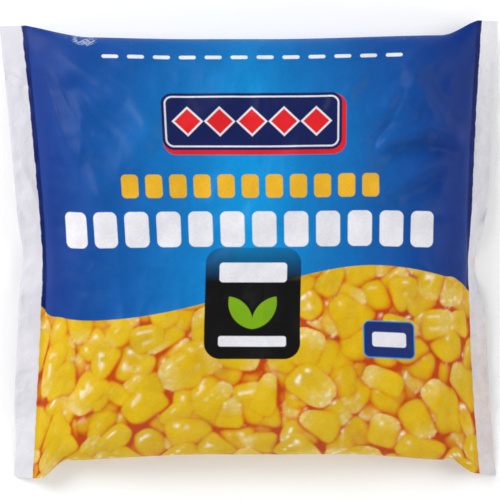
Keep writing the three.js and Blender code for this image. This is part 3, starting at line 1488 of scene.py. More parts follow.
@dataclass(frozen=True)
class PrintLayout:
    """Where everything is printed, in film millimetres.

    Attributes:
        half_pillow: Half the film's length between the welds.
        face_length: The film's length up the face, from fold to fold.
        band: How far the print runs beyond each weld.
        print_middle: How far the whole print lies to the right of the bag's middle.
        beam: Middle of the bright beam in the blue.
        wave_middle: Middle height of the blue's lower edge.
        wave_half_length: Half the length of that edge's long wave.
        waves: Height and crest of its long wave, and of the one half as long.
        wave_left: Where the edge starts to turn at the left, and how sharply.
        wave_right: Where it starts to turn at the right, and how sharply.
        wrap: How far the sweetcorn wraps round the lower fold.
        wrap_wave: Height of the wave in that edge.
        dashes: Short white dashes near the top.
        plaque: The dark plaque.
        plaque_shadow: The red shape behind the plaque.
        plaque_rim: How far inside the plaque's edge its white line lies, and half that line's width.
        lozenges: Red lozenges on the plaque.
        lozenge_rim: Width of the white rim round them.
        gold_row: The row of small gold bars.
        white_row: The row of large white bars.
        badge: The black badge.
        badge_fade: Where the badge turns see-through towards its top, and how much of it is left there.
        badge_bars: White bars on the badge.
        leaf: The sprout's leaves on the badge.
        label: The blue label.
        label_rim: Width of the label's bright rim.
        label_bar: The white bar on the label.
        back_panel: The white panel on the back.
        back_rule: Spacing of the back panel's grey rules, half a rule's share of it, the panel's margin, and
            the soft edge's share of the spacing.
        scuff: Middle of the scratched patch.
        scuff_size: How far the scratched patch reaches to each side.
    """

    half_pillow: float
    face_length: float
    band: float = 2.8
    print_middle: float = 0.4
    beam: float = -2.0
    wave_middle: float = 97.1
    wave_half_length: float = 154.0
    waves: tuple[Point, ...] = ((14.3, 66.8), (0.7, 66.3))
    wave_left: Point = (104.0, 0.0145)
    wave_right: Point = (108.0, -0.0031)
    wrap: float = 27.0
    wrap_wave: float = 3.5
    dashes: PanelRow = PanelRow(Panel(0.1, 228.3, 4.4, 1.1, 1.1), 12, 13.4)
    plaque: Panel = Panel(-0.7, 191.4, 47.6, 15.8, 6.0)
    plaque_shadow: Panel = Panel(0.5, 189.8, 48.6, 16.8, 7.0)
    plaque_rim: Point = (2.0, 0.45)
    lozenges: PanelRow = PanelRow(Panel(-0.7, 191.4, 4.9, 4.9, 0.8), 5, 17.0)
    lozenge_rim: float = 1.0
    gold_row: PanelRow = PanelRow(Panel(-2.5, 155.8, 4.6, 6.4, 2.4), 11, 13.0)
    white_row: PanelRow = PanelRow(Panel(-4.1, 132.2, 6.6, 9.7, 3.4), 12, 17.4)
    badge: Panel = Panel(-1.5, 91.4, 26.2, 30.6, 9.0)
    badge_fade: tuple[float, float, float] = (12.0, 30.6, 0.42)
    badge_bars: tuple[Panel, ...] = (Panel(-1.5, 108.4, 18.5, 5.4, 2.0), Panel(-1.5, 70.6, 18.5, 2.9, 1.4))
    leaf: Leaf = Leaf()
    label: Panel = Panel(73.5, 71.8, 13.7, 9.5, 2.8)
    label_rim: float = 0.7
    label_bar: Panel = Panel(73.5, 71.8, 9.4, 4.0, 1.6)
    back_panel: Panel = Panel(-20.0, -78.0, 62.0, 34.0, 5.0)
    back_rule: tuple[float, float, float, float] = (6.0, 0.05, 6.0, 0.02)
    scuff: Point = (-87.0, 240.0)
    scuff_size: Point = (8.5, 6.5)

    def wave(self, spot: Spot) -> Socket:
        """Builds how high the blue's lower edge lies.

        It is middle + sum of height * cos(k * pi * (s - crest) / half), plus bend * beyond^2 at either end,
        for the distance beyond the place where that end starts to turn.

        Args:
            spot: The spot of film.

        Returns:
            The edge's place t.
        """
        m = spot.wiring.math
        edge: Value = self.wave_middle
        for k, (height, crest) in enumerate(self.waves, start=1):
            turn = m("MULTIPLY", m("SUBTRACT", spot.s, crest), k * math.pi / self.wave_half_length)
            edge = m("MULTIPLY_ADD", m("COSINE", turn), height, edge)
        for side, (start, bend) in ((-1.0, self.wave_left), (1.0, self.wave_right)):
            beyond = m("MAXIMUM", m("MULTIPLY_ADD", spot.s, side, -start), 0.0)
            edge = m("MULTIPLY_ADD", m("MULTIPLY", beyond, beyond), bend, edge)
        return edge

    def below_blue(self, spot: Spot) -> Socket:
        """Builds where the sweetcorn is printed: below the wave, and round the lower fold to a wavy edge.

        Args:
            spot: The spot of film.

        Returns:
            1 on the sweetcorn, and 0 on the blue.
        """
        m = spot.wiring.math
        below_wave = m("SUBTRACT", self.wave(spot), spot.t)
        turn = m("MULTIPLY", spot.s, 2 * math.pi / self.wave_half_length)
        wrapped = m("ADD", spot.t, m("MULTIPLY_ADD", m("COSINE", turn), self.wrap_wave, self.wrap))
        return spot.wiring.inside(m("MULTIPLY", m("MINIMUM", below_wave, wrapped), -1.0))


@dataclass(frozen=True)
class Scratches:
    """Fine white scratches where the upper long fold has rubbed: dense in one patch, few along the fold.

    They are two crossing sets of thin lines, each from noise drawn out along a slant.

    Attributes:
        turns: Slants of both sets of lines, in radians.
        line_size: Length and width of a line, in metres.
        lines: The noise that one set is made of, in lines.
        patch: Squares of the share of the patch's size between which it ends.
        fold_inset: How far below the upper fold the scratched line lies.
        fold: Distances between which the scratches beside that line end, and their share.
        drop: How far the noise falls where nothing is scratched.
        threshold: Values of the noise between which a scratch shows.
        white: How white the scratches are.
    """

    turns: Point = (0.5, -0.7)
    line_size: Point = (0.006, 0.0006)
    lines: Grain = Grain(1.0)
    patch: Fade = Fade(1.2, 0.4)
    fold_inset: float = 3.0
    fold: Fade = Fade(6.0, 1.0, 0.35)
    drop: float = 0.3
    threshold: Point = (0.5, 0.6)
    white: float = 0.5

    def share(self, spot: Spot, layout: PrintLayout) -> Socket:
        """Builds the scratches.

        Args:
            spot: The spot of film.
            layout: Where the patch lies.

        Returns:
            The share of white.
        """
        wiring, m = spot.wiring, spot.wiring.math
        sets = []
        for turn in self.turns:
            drawn = wiring.node("ShaderNodeMapping", vector_type="TEXTURE")
            wiring.feed(drawn.inputs["Vector"], spot.place)
            drawn.inputs["Rotation"].default_value = (0, 0, turn)
            drawn.inputs["Scale"].default_value = (*self.line_size, self.line_size[0])
            sets.append(wiring.noise(drawn.outputs[0], self.lines))
        across = m("DIVIDE", m("SUBTRACT", spot.s, layout.scuff[0]), layout.scuff_size[0])
        up = m("DIVIDE", m("SUBTRACT", spot.t, layout.scuff[1]), layout.scuff_size[1])
        out = m("ADD", m("MULTIPLY", across, across), m("MULTIPLY", up, up))
        beside = m("ABSOLUTE", m("SUBTRACT", spot.t, layout.face_length - self.fold_inset))
        spread = m("MAXIMUM", self.patch.share(wiring, out), self.fold.share(wiring, beside))
        share = m("ADD", m("MAXIMUM", *sets), m("MULTIPLY_ADD", spread, self.drop, -self.drop))
        return m("MULTIPLY", wiring.span(share, *self.threshold), self.white)


@dataclass(frozen=True)
class BlueGround:
    """The printed blue: a bright beam down the middle, deeper blue around it, a right end darkened by
    painted shade, and dark crimped bands along the welds that are partly print and partly painted shade.

    Attributes:
        layout: Where everything is printed.
        reach: Distance from the beam's middle over which the blue deepens.
        blues: The blues along that distance, each with its share of it.
        top: Film below the upper fold over which the blue deepens, and by how much.
        right: Places along the film between which the right end darkens as painted shade, and by how much.
        crimp: The crimp's pattern.
        crimp_inset: How far beyond the weld the crimped band's edge lies, before the crimp moves it.
        crimp_stray: How far the crimp moves that edge.
        crimp_light: Values of the crimp between which it is lighter, and by how much.
        crimp_soft: Distances beyond the band's edge between which it comes in.
    """

    layout: PrintLayout
    reach: float = 130.0
    blues: tuple[tuple[float, Ink], ...] = (
        (0.0, Ink.BEAM_BLUE), (0.2, Ink.BRIGHT_BLUE), (0.52, Ink.MID_BLUE), (0.86, Ink.DEEP_BLUE)
    )
    top: Fade = Fade(60.0, 4.0, 0.5)
    right: Fade = Fade(74.0, 122.0, 0.6)
    crimp: Grain = Grain(150, 3, 0.6)
    crimp_inset: float = 1.2
    crimp_stray: float = 4.4
    crimp_light: Fade = Fade(0.5, 0.66, 0.7)
    crimp_soft: Fade = Fade(-0.7, 0.5)

    def colour(self, spot: Spot) -> Socket:
        """Builds the blue.

        Args:
            spot: The spot of film.

        Returns:
            The colour.
        """
        w, m, layout = spot.wiring, spot.wiring.math, self.layout
        off = m("ABSOLUTE", m("SUBTRACT", spot.s, layout.beam))
        ground = w.ramp(w.span(off, 0, self.reach), [(place, ink.linear) for place, ink in self.blues])
        below_fold = m("SUBTRACT", layout.face_length, spot.t)
        ground = w.mix(self.top.share(w, below_fold), ground, Ink.DEEP_BLUE.linear)
        # painted shade: the blue darkens towards the right end, as if less lit there
        ground = w.mix(self.right.share(w, spot.s), ground, Ink.WELD_BLUE.linear)
        # the dark crimped band along each weld: partly print, partly painted shade of the weld's crease
        crimp = w.noise(spot.place, self.crimp)
        past = m("SUBTRACT", m("ABSOLUTE", spot.s), layout.half_pillow + self.crimp_inset)
        past = m("MULTIPLY_ADD", crimp, self.crimp_stray, past)
        band = w.mix(self.crimp_light.share(w, crimp), Ink.WELD_NAVY_SHADE.linear, Ink.WELD_BLUE.linear)
        return w.mix(self.crimp_soft.share(w, past), ground, band)


@dataclass(frozen=True)
class SweetcornInk:
    """The printed sweetcorn's colours, darker towards the right by painted shade of light that falls from
    the left.

    Attributes:
        fall: Places along the film between which the tone falls as painted shade, and by how much at both.
        bleaching: Tones between which the painted bleach starts to show, and how much of it does.
        tones: The colours from the darkest tone to the lightest one.
    """

    fall: tuple[float, float, float, float] = (-90.0, 110.0, -0.01, 0.12)
    bleaching: Fade = Fade(0.28, 0.6, 0.76)
    tones: tuple[tuple[float, Ink], ...] = (
        (0.0, Ink.KERNEL_GAP), (0.25, Ink.KERNEL_SHADE), (0.48, Ink.KERNEL_LOW), (0.70, Ink.KERNEL_BODY),
        (0.95, Ink.KERNEL_LIGHT),
    )

    def colour(self, spot: Spot) -> Socket:
        """Builds the colours from the painted tone, bleach and shine.

        Args:
            spot: The spot of film.

        Returns:
            The colour.
        """
        w = spot.wiring
        split = w.node("ShaderNodeSeparateColor")
        painted = w.node("ShaderNodeAttribute", attribute_name="kernel_print")
        w.feed(split.inputs[0], painted.outputs["Color"])
        tone, bleach, shine = split.outputs
        # painted shade: the tone falls towards the right, as if less lit there
        tone_with_painted_shade = w.math("SUBTRACT", tone, w.span(spot.s, *self.fall))
        colour = w.ramp(tone_with_painted_shade, [(place, ink.linear) for place, ink in self.tones])
        bleached = w.math("MULTIPLY", bleach, self.bleaching.share(w, tone))
        colour = w.mix(bleached, colour, Ink.KERNEL_CUT.linear)
        return w.mix(shine, colour, Ink.KERNEL_GLINT.linear)


@dataclass(frozen=True)
class Ornaments:
    """The printed shapes that lie over the blue and the sweetcorn.

    Attributes:
        layout: Where they lie.
    """

    layout: PrintLayout

    def lay(self, spot: Spot, under: Socket, distance: Socket, ink: Ink, grow: float = 0) -> Socket:
        """Lays one ink inside an outline.

        Args:
            spot: The spot of film.
            under: The colour that it is laid over.
            distance: Signed distance from the outline.
            ink: The ink.
            grow: How far the ink runs beyond the outline.

        Returns:
            The new colour.
        """
        grown = spot.wiring.math("SUBTRACT", distance, grow) if grow else distance
        return spot.wiring.mix(spot.wiring.inside(grown), under, ink.linear)

    def plaque(self, spot: Spot, under: Socket) -> Socket:
        """Lays the dark plaque with its red shadow, white line and row of lozenges.

        Args:
            spot: The spot of film.
            under: The colour that it is laid over.

        Returns:
            The new colour.
        """
        m, layout = spot.wiring.math, self.layout
        colour = self.lay(spot, under, layout.plaque_shadow.distance(spot), Ink.RED)
        plaque = layout.plaque.distance(spot)
        colour = self.lay(spot, colour, plaque, Ink.NAVY)
        inset, half_line = layout.plaque_rim
        line = m("SUBTRACT", m("ABSOLUTE", m("ADD", plaque, inset)), half_line)
        colour = self.lay(spot, colour, line, Ink.WHITE)
        lozenge = layout.lozenges.panel.lozenge_distance(layout.lozenges.nearest(spot))
        colour = self.lay(spot, colour, lozenge, Ink.WHITE, grow=layout.lozenge_rim)
        return self.lay(spot, colour, lozenge, Ink.RED)

    def badge(self, spot: Spot, under: Socket) -> Socket:
        """Lays the black badge, which fades towards its top, with its bars and its sprout.

        Args:
            spot: The spot of film.
            under: The colour that it is laid over.

        Returns:
            The new colour.
        """
        w, layout = spot.wiring, self.layout
        low, high, left = layout.badge_fade
        dark = w.span(spot.t, layout.badge.t + low, layout.badge.t + high, 1, left)
        share = w.math("MULTIPLY", w.inside(layout.badge.distance(spot)), dark)
        colour = w.mix(share, under, Ink.BLACK.linear)
        for bar in layout.badge_bars:
            colour = self.lay(spot, colour, bar.distance(spot), Ink.WHITE)
        for side in (-1, 1):
            colour = self.lay(spot, colour, layout.leaf.distance(spot, layout.badge, side), Ink.GREEN)
        return colour

    def face(self, spot: Spot, under: Socket) -> Socket:
        """Lays everything that is printed on the face, one thing after another.

        Args:
            spot: The spot of film.
            under: The colour that it is laid over.

        Returns:
            The new colour.
        """
        layout = self.layout
        colour = self.lay(spot, under, layout.dashes.distance(spot), Ink.WHITE)
        colour = self.plaque(spot, colour)
        colour = self.lay(spot, colour, layout.gold_row.distance(spot), Ink.GOLD)
        colour = self.lay(spot, colour, layout.white_row.distance(spot), Ink.WHITE)
        colour = self.badge(spot, colour)
        label = layout.label.distance(spot)
        colour = self.lay(spot, colour, label, Ink.LABEL_RIM, grow=layout.label_rim)
        colour = self.lay(spot, colour, label, Ink.LABEL_BLUE)
        return self.lay(spot, colour, layout.label_bar.distance(spot), Ink.WHITE)

    def back(self, spot: Spot, under: Socket) -> Socket:
        """Lays the back's plain white panel and its thin grey rules.

        Args:
            spot: The spot of film.
            under: The colour that it is laid over.

        Returns:
            The new colour.
        """
        w, m = spot.wiring, spot.wiring.math
        pitch, half_rule, margin, soft = self.layout.back_rule
        panel = self.layout.back_panel.distance(spot)
        colour = self.lay(spot, under, panel, Ink.WHITE)
        off_middle = m("ABSOLUTE", m("SUBTRACT", m("FRACT", m("DIVIDE", spot.t, pitch)), 0.5))
        rule = w.inside(m("SUBTRACT", off_middle, half_rule), soft)
        return w.mix(m("MULTIPLY", rule, w.inside(m("ADD", panel, margin))), colour, Ink.GREY.linear)


@dataclass(frozen=True)
class BareFilm:
    """The strips' white film: greyer high on the left as painted shade, brighter high on the right as
    painted light, and warm low on the right.

    Attributes:
        left: Places along the film that tell the left strip from the rest.
        right: Places along the film that tell the right strip from the rest.
        upper_left_painted_shade: Places across the film between which the left strip turns grey as painted
            shade, and by how much.
        upper_right_painted_light: Places across the film between which the right strip turns bright as
            painted light, and by how much.
        low_right: Places across the film between which the right strip turns warm, and by how much.
        clouds: The pattern of the clouds.
        cloudy: Values of that pattern between which the film turns from grey to white.
        streaks: The pattern of the streaks.
        streaked: Values of that pattern between which the warm part grows, and its least and most.
    """

    left: Fade = Fade(0.0, -20.0)
    right: Fade = Fade(0.0, 20.0)
    upper_left_painted_shade: Fade = Fade(70.0, 110.0, 0.8)
    upper_right_painted_light: Fade = Fade(185.0, 235.0)
    low_right: Fade = Fade(104.0, 80.0, 0.55)
    clouds: Grain = Grain(60, 4, 0.6)
    cloudy: Fade = Fade(0.35, 0.65)
    streaks: Grain = Grain(130, 3)
    streaked: tuple[float, float, float, float] = (0.35, 0.6, 0.25, 1)

    def colour(self, spot: Spot) -> Socket:
        """Builds the film's colour, with soft clouds, painted shade high on the left, painted light high on
        the right, and streaks in the warm part.

        Args:
            spot: The spot of film.

        Returns:
            The colour.
        """
        w = spot.wiring
        cloud = self.cloudy.share(w, w.noise(spot.place, self.clouds))
        colour = w.mix(cloud, Ink.BARE_SHADE.linear, Ink.BARE_FILM.linear)
        # painted shade high on the left strip, and painted light high on the right one
        for side, height, ink in (
            (self.left, self.upper_left_painted_shade, Ink.BARE_SHADE), (self.right, self.upper_right_painted_light, Ink.BARE_PAINTED_LIGHT)
        ):
            share = w.math("MULTIPLY", side.share(w, spot.s), height.share(w, spot.t))
            colour = w.mix(share, colour, ink.linear)
        streak = w.span(w.noise(spot.place, self.streaks), *self.streaked)
        low = w.math("MULTIPLY", self.right.share(w, spot.s), self.low_right.share(w, spot.t))
        return w.mix(w.math("MULTIPLY", low, streak), colour, Ink.WARM_FILM.linear)


@dataclass(frozen=True)
class PrintedFilm:
    """Satin polythene film: blue and sweetcorn print on the pillow, and bare white film on the strips.

    Attributes:
        layout: Where everything is printed.
        film_width: The film's width along the bag, from cut edge to cut edge.
        film_length: The film's length round the bag.
        start: The place t where the film starts.
        roughness: Roughness of the printed film.
        strip_roughness: Roughness of the bare film.
        uneven: How far the roughness goes up and down.
        uneven_grain: The pattern of that, and its values between which it goes from down to up.
        refraction: The film's index of refraction.
        shine: How strongly it reflects, where 0.5 is plain for that index.
        ragged: How far the print's ends stray from a straight line.
        ragged_grain: The pattern of that.
        soft: Half the width of the print's soft ends.
        mottle: The darkest and the lightest of the print's mottle.
        mottles: Its wide and its fine pattern, with the values between which it goes from dark to light.
        dimples: The patterns of the film's grain and dimples, with their height in metres and strength.
        crumple: The pattern of the strips' crumples, with their height in metres.
        crumples: Places along the film between which the strips' crumples grow, and their least and most.
    """

    layout: PrintLayout
    film_width: float
    film_length: float
    start: float
    roughness: float = 0.45
    strip_roughness: float = 0.52
    uneven: float = 0.05
    uneven_grain: tuple[Grain, float, float] = (Grain(900, 3, 0.6), 0.3, 0.7)
    refraction: float = 1.45
    shine: float = 0.15
    ragged: float = 1.6
    ragged_grain: Grain = Grain(160, 3)
    soft: float = 0.25
    mottle: Point = (0.93, 1.07)
    mottles: tuple[tuple[Grain, float, float], ...] = (
        (Grain(60, 4, 0.62), 0.3, 0.7), (Grain(750, 3, 0.7), 0.25, 0.75)
    )
    dimples: tuple[tuple[Grain, float, float], ...] = (
        (Grain(900, 3, 0.6), 0.0001, 0.25), (Grain(120, 4, 0.55), 0.0006, 0.35)
    )
    crumple: tuple[Grain, float] = (Grain(75, 5, 0.6), 0.005)
    crumples: tuple[float, float, float, float] = (-20, 20, 0.25, 0.7)

    def spot(self, wiring: Wiring) -> Spot:
        """Turns the film's own map into places in millimetres.

        Args:
            wiring: The material's tree.

        Returns:
            The spot of film.
        """
        film = wiring.node("ShaderNodeMapping")
        wiring.feed(film.inputs["Vector"], wiring.node("ShaderNodeUVMap", uv_map="OFBake").outputs[0])
        film.inputs["Scale"].default_value = (self.film_width, self.film_length, 1)
        film.inputs["Location"].default_value = (-self.film_width / 2, self.start, 0)
        split = wiring.node("ShaderNodeSeparateXYZ")
        wiring.feed(split.inputs[0], film.outputs[0])
        place = wiring.node("ShaderNodeTexCoord").outputs["Object"]
        return Spot(wiring, place, split.outputs[0], split.outputs[1])

    def printed(self, spot: Spot) -> Socket:
        """Builds the print on the pillow, with its fine mottle and its scratches.

        Args:
            spot: The spot of film.

        Returns:
            The colour.
        """
        w, layout = spot.wiring, self.layout
        colour = w.mix(layout.below_blue(spot), BlueGround(layout).colour(spot), SweetcornInk().colour(spot))
        ornaments = Ornaments(layout)
        colour = ornaments.face(spot, ornaments.back(spot, colour))
        for grain, low, high in self.mottles:
            colour = w.scaled(colour, w.span(w.noise(spot.place, grain), low, high, *self.mottle))
        return w.mix(Scratches().share(spot, layout), colour, Ink.SCUFF.linear)

    def outside(self, spot: Spot) -> Socket:
        """Builds which film is bare: what lies beyond the print's two ragged ends.

        Args:
            spot: The spot of film.

        Returns:
            1 on the bare film, and 0 on the print.
        """
        w, m = spot.wiring, spot.wiring.math
        across = m("ABSOLUTE", m("SUBTRACT", spot.s, self.layout.print_middle))
        past = m("MULTIPLY_ADD", w.noise(spot.place, self.ragged_grain), -self.ragged, across)
        edge = self.layout.half_pillow + self.layout.band - self.ragged / 2
        return w.span(past, edge - self.soft, edge + self.soft)

    def normal(self, spot: Spot, outside: Socket) -> Socket:
        """Builds the film's finest relief: grain and soft dimples all over, and crumples in the strips.

        Args:
            spot: The spot of film.
            outside: 1 on the bare film.

        Returns:
            The tilted normal.
        """
        w = spot.wiring
        normal = None
        for grain, height, strength in self.dimples:
            normal = w.bump(w.noise(spot.place, grain), height, strength, normal)
        grain, height = self.crumple
        strength = w.math("MULTIPLY", outside, w.span(spot.s, *self.crumples))
        return w.bump(w.noise(spot.place, grain), height, strength, normal)

    def material(self) -> bpy.types.Material:
        """Builds the film's material.

        Returns:
            The finished material. It reads the film's own map of places, the painted sweetcorn, and
            Object coordinates for its fine grain.
        """
        made = bpy.data.materials.new("printed_film")
        w = Wiring(made)
        spot = self.spot(w)
        outside = self.outside(spot)
        colour = w.mix(outside, self.printed(spot), BareFilm().colour(spot))
        gloss = w.math("MULTIPLY_ADD", outside, self.strip_roughness - self.roughness, self.roughness)
        grain, low, high = self.uneven_grain
        uneven = w.span(w.noise(spot.place, grain), low, high, -self.uneven, self.uneven)

        shader = w.node("ShaderNodeBsdfPrincipled")
        w.feed(shader.inputs["Base Color"], colour)
        w.feed(shader.inputs["Roughness"], w.math("ADD", gloss, uneven))
        w.feed(shader.inputs["Normal"], self.normal(spot, outside))
        shader.inputs["IOR"].default_value = self.refraction
        shader.inputs["Specular IOR Level"].default_value = self.shine
        w.finish("ShaderNodeOutputMaterial", shader)
        return made


# The bag's mesh


@dataclass(frozen=True)
class FilmRows:
    """The rows of the film's mesh, round the film from the middle of the back.

    Attributes:
        v: Place of each row between the long folds, -1 to 1.
        t: Place t of each row, and of the first one once more at the end.
        on_face: Which rows are on the face.
        twin: Which of the face's rows has the same place v.
    """

    v: Array
    t: Array
    on_face: NDArray
    twin: NDArray

    @property
    def following(self) -> NDArray:
        """The number of the row after each row."""
        return np.roll(np.arange(len(self.v)), -1)


@dataclass
class SweetcornBag:
    """The whole bag: its film, meshed evenly and dressed with its print.

    Attributes:
        film: The shape of the filled film.
        column_pitch: Spacing of the mesh's columns on the pillow.
        strip_columns: Columns in each welded strip.
        kernel_pitch: Spacing of the rows over the printed sweetcorn.
        kernel_rows_to: Place t where the sweetcorn's rows end.
        picture_half: Half the length of the painted sweetcorn.
        blue_pitch: Spacing of the rows over the blue.
        wrap_pitch: Spacing of the back's rows beside the long folds.
        wrap_length: How far those rows reach from the lower fold. At the upper one they reach half as far.
        first_wrap: Least distance of a back row from the lower fold, as a share of that spacing.
        back_pitch: Spacing of the other rows on the back.
        sharp_angle: Angle in degrees above which an edge is shaded sharp.
    """

    film: FilledFilm
    column_pitch: float = 0.82
    strip_columns: int = 16
    kernel_pitch: float = 0.82
    kernel_rows_to: float = 116.0
    picture_half: float = 128.1
    blue_pitch: float = 1.85
    wrap_pitch: float = 1.0
    wrap_length: float = 34.0
    first_wrap: float = 0.6
    back_pitch: float = 7.0
    sharp_angle: float = 60.0

    def __post_init__(self) -> None:
        """Measures the film along the bag, over the face and under the back."""
        self.along = Section.cut(self.film, is_along=True, is_face=True)
        self.face = Section.cut(self.film, is_along=False, is_face=True)
        self.back = Section.cut(self.film, is_along=False, is_face=False)

    @property
    def start(self) -> float:
        """The place t where the film starts: the middle of the back, below the lower fold."""
        return -float(self.back.length_at(0.0))

    @property
    def width(self) -> float:
        """The film's width along the bag, from cut edge to cut edge."""
        return self.along.total + 2 * self.film.strip_width

    @property
    def length(self) -> float:
        """The film's length round the bag."""
        return self.face.total + self.back.total

    def rows(self) -> FilmRows:
        """Chooses the rows of the mesh.

        The face has fine rows over the sweetcorn and wider ones over the blue. The back uses some of the
        same places between the folds, so that both sides meet at the cut edges: fine ones where the
        sweetcorn wraps round the lower fold, and wide ones where the bag lies on the floor.

        Returns:
            The rows.
        """
        fine = np.arange(0, self.kernel_rows_to, self.kernel_pitch)
        rest = self.face.total - fine[-1]
        count = int(rest / self.blue_pitch) + 1
        v = self.face.place_at(np.concatenate([fine, fine[-1] + rest * np.arange(1, count + 1) / count]))
        v[0], v[-1] = -1.0, 1.0
        depth = self.back.length_at(v)
        chosen = [len(v) - 1]
        for i in range(len(v) - 2, 0, -1):
            is_wrap = depth[i] < self.wrap_length or self.back.total - depth[i] < self.wrap_length / 2
            pitch = self.wrap_pitch if is_wrap else self.back_pitch
            if depth[chosen[-1]] - depth[i] >= pitch and depth[i] >= self.first_wrap * self.wrap_pitch:
                chosen.append(i)
        chosen = np.array([*chosen, 0])
        middle = int(np.argmin(np.abs(v[chosen])))
        lower, upper = chosen[middle:-1], chosen[1:middle]
        twin = np.concatenate([lower, np.arange(len(v)), upper])
        on_face = np.repeat([False, True, False], [len(lower), len(v), len(upper)])
        beyond = self.length - depth[chosen[1 : middle + 1]]
        t = np.concatenate([-depth[lower], self.face.length_at(v), beyond])
        return FilmRows(v[twin], t, on_face, twin)

    def grid(self, rows: FilmRows) -> tuple[Array, Array]:
        """Works out all points of the film, column by column along the bag and row by row round it.

        Args:
            rows: The mesh's rows.

        Returns:
            The place s of each column, and the points (x, y, z) by column and row.
        """
        columns = int(self.along.total / self.column_pitch) + 1
        u = self.along.place_at(np.linspace(0, self.along.total, columns))
        u[0], u[-1] = -1.0, 1.0
        w = np.arange(1, self.strip_columns + 1) / self.strip_columns
        half = self.along.total / 2
        outer = half + w * self.film.strip_width
        s = np.concatenate([-outer[::-1], np.linspace(-half, half, columns), outer])
        points = np.empty((len(s), len(rows.v), 3))
        for is_face in (True, False):
            chosen = rows.on_face == is_face
            uu, pillow_v = np.meshgrid(u, rows.v[chosen], indexing="ij")
            ww, strip_v = np.meshgrid(w, rows.v[chosen], indexing="ij")
            left = self.film.strip(-1, ww[::-1], strip_v, is_face)
            right = self.film.strip(1, ww, strip_v, is_face)
            points[:, chosen] = np.concatenate([left, self.film.pillow(uu, pillow_v, is_face), right])
        return s, points

    def faces(self, rows: FilmRows, s: Array) -> tuple[list[list[int]], Array]:
        """Lists the mesh's faces, and the film's map at their corners.

        The points are numbered row by row: first the left cut edge, then the inner columns and last the
        right cut edge. Face and back share the points of a cut edge, which are those of the face's rows.
        There, a wide face of the back takes in all the points between its own two.

        Args:
            rows: The mesh's rows.
            s: Place s of each column.

        Returns:
            The point numbers of each face, and the map's two values at all their corners in turn.
        """
        following, edge = rows.following, int(rows.on_face.sum())
        inner = edge + np.arange((len(s) - 2) * len(rows.v)).reshape(-1, len(rows.v))
        number = np.concatenate([[rows.twin], inner, [edge + inner.size + rows.twin]])
        a, b = number[:-1], number[1:]
        quads = np.stack([a, b, b[:, following], a[:, following]], axis=-1)
        column = np.arange(len(s) - 1)[:, None] + np.array([0, 1, 1, 0])
        row = np.arange(len(rows.v))[:, None] + np.array([0, 0, 1, 1])
        maps = np.empty((*quads.shape, 2))
        maps[..., 0] = (s[column][:, None, :] + self.width / 2) / self.width
        maps[..., 1] = (rows.t[row][None, :, :] - self.start) / self.length

        is_wide = (rows.twin - rows.twin[following] > 1) & ~(rows.on_face & rows.on_face[following])
        is_plain = np.ones(quads.shape[:2], dtype=bool)
        is_plain[0, is_wide] = is_plain[-1, is_wide] = False
        polygons = quads[is_plain].tolist()
        corner_maps = [maps[is_plain].reshape(-1, 2)]
        for r in np.flatnonzero(is_wide):
            high, low = rows.twin[r], rows.twin[following[r]]
            rising = np.arange(low + 1, high)
            for side, on_edge, after, between in ((0, 0, 4, rising), (-1, 1, 2, rising[::-1])):
                corners, own = quads[side, r].tolist(), maps[side, r]
                edge_t = lerp(own[0, 1], own[3, 1], (high - between) / (high - low))
                edge_maps = np.stack([np.full(len(between), own[on_edge, 0]), edge_t], axis=-1)
                edge_points = number[side, rows.on_face][between].tolist()
                polygons.append([*corners[:after], *edge_points, *corners[after:]])
                corner_maps.append(np.concatenate([own[:after], edge_maps, own[after:]]))
        return polygons, np.concatenate(corner_maps)

    def over_solid(self, points: Array) -> Array:
        """Moves the points until their box stands on the floor with its middle over the solid's.

        Args:
            points: The points.

        Returns:
            The moved points.
        """
        low, high = points.min(axis=0), points.max(axis=0)
        solid_low, solid_high = (np.array(corner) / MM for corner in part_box("bag"))
        shift = (solid_low + solid_high) / 2 - (low + high) / 2
        shift[2] = solid_low[2] - low[2]
        sizes = [size.round(2) for size in (high - low, solid_high - solid_low)]
        LOG.info("film box %s mm, solid's box %s mm", *sizes)
        return points + shift

    def paint(self, mesh: bpy.types.Mesh, rows: FilmRows, s: Array) -> None:
        """Paints the sweetcorn on the mesh's points. Those of both cut edges stay bare.

        Args:
            mesh: The mesh, which is changed.
            rows: Its rows.
            s: Place s of each column.
        """
        half = self.picture_half
        picture = KernelPicture(-half, half, -self.wrap_length, self.kernel_rows_to)
        inner = picture.sample(*np.meshgrid(s[1:-1], rows.t[:-1], indexing="ij")).reshape(-1, 3)
        edge = int(rows.on_face.sum())
        painted = np.zeros((len(mesh.vertices), 4))
        painted[:, 3] = 1
        painted[edge:-edge, :3] = inner
        attribute = mesh.attributes.new("kernel_print", "FLOAT_COLOR", "POINT")
        attribute.data.foreach_set("color", painted.astype(np.float32).ravel())

    def mesh(self) -> bpy.types.Mesh:
        """Builds the closed film mesh, its map of film places and its painted sweetcorn.

        Returns:
            The mesh, in metres.
        """
        rows = self.rows()
        s, grid = self.grid(rows)
        points = np.concatenate([grid[0, rows.on_face], grid[1:-1].reshape(-1, 3), grid[-1, rows.on_face]])
        polygons, corner_maps = self.faces(rows, s)
        mesh = bpy.data.meshes.new("bag_film")
        mesh.from_pydata((self.over_solid(points) * MM).tolist(), [], polygons)
        mesh.polygons.foreach_set("use_smooth", np.ones(len(polygons), dtype=bool))
        film_map = mesh.uv_layers.new(name="OFBake")
        film_map.data.foreach_set("uv", corner_maps.astype(np.float32).ravel())
        mesh.set_sharp_from_angle(angle=math.radians(self.sharp_angle))
        self.paint(mesh, rows, s)
        mesh.validate(verbose=False)
        mesh.update()
        return mesh

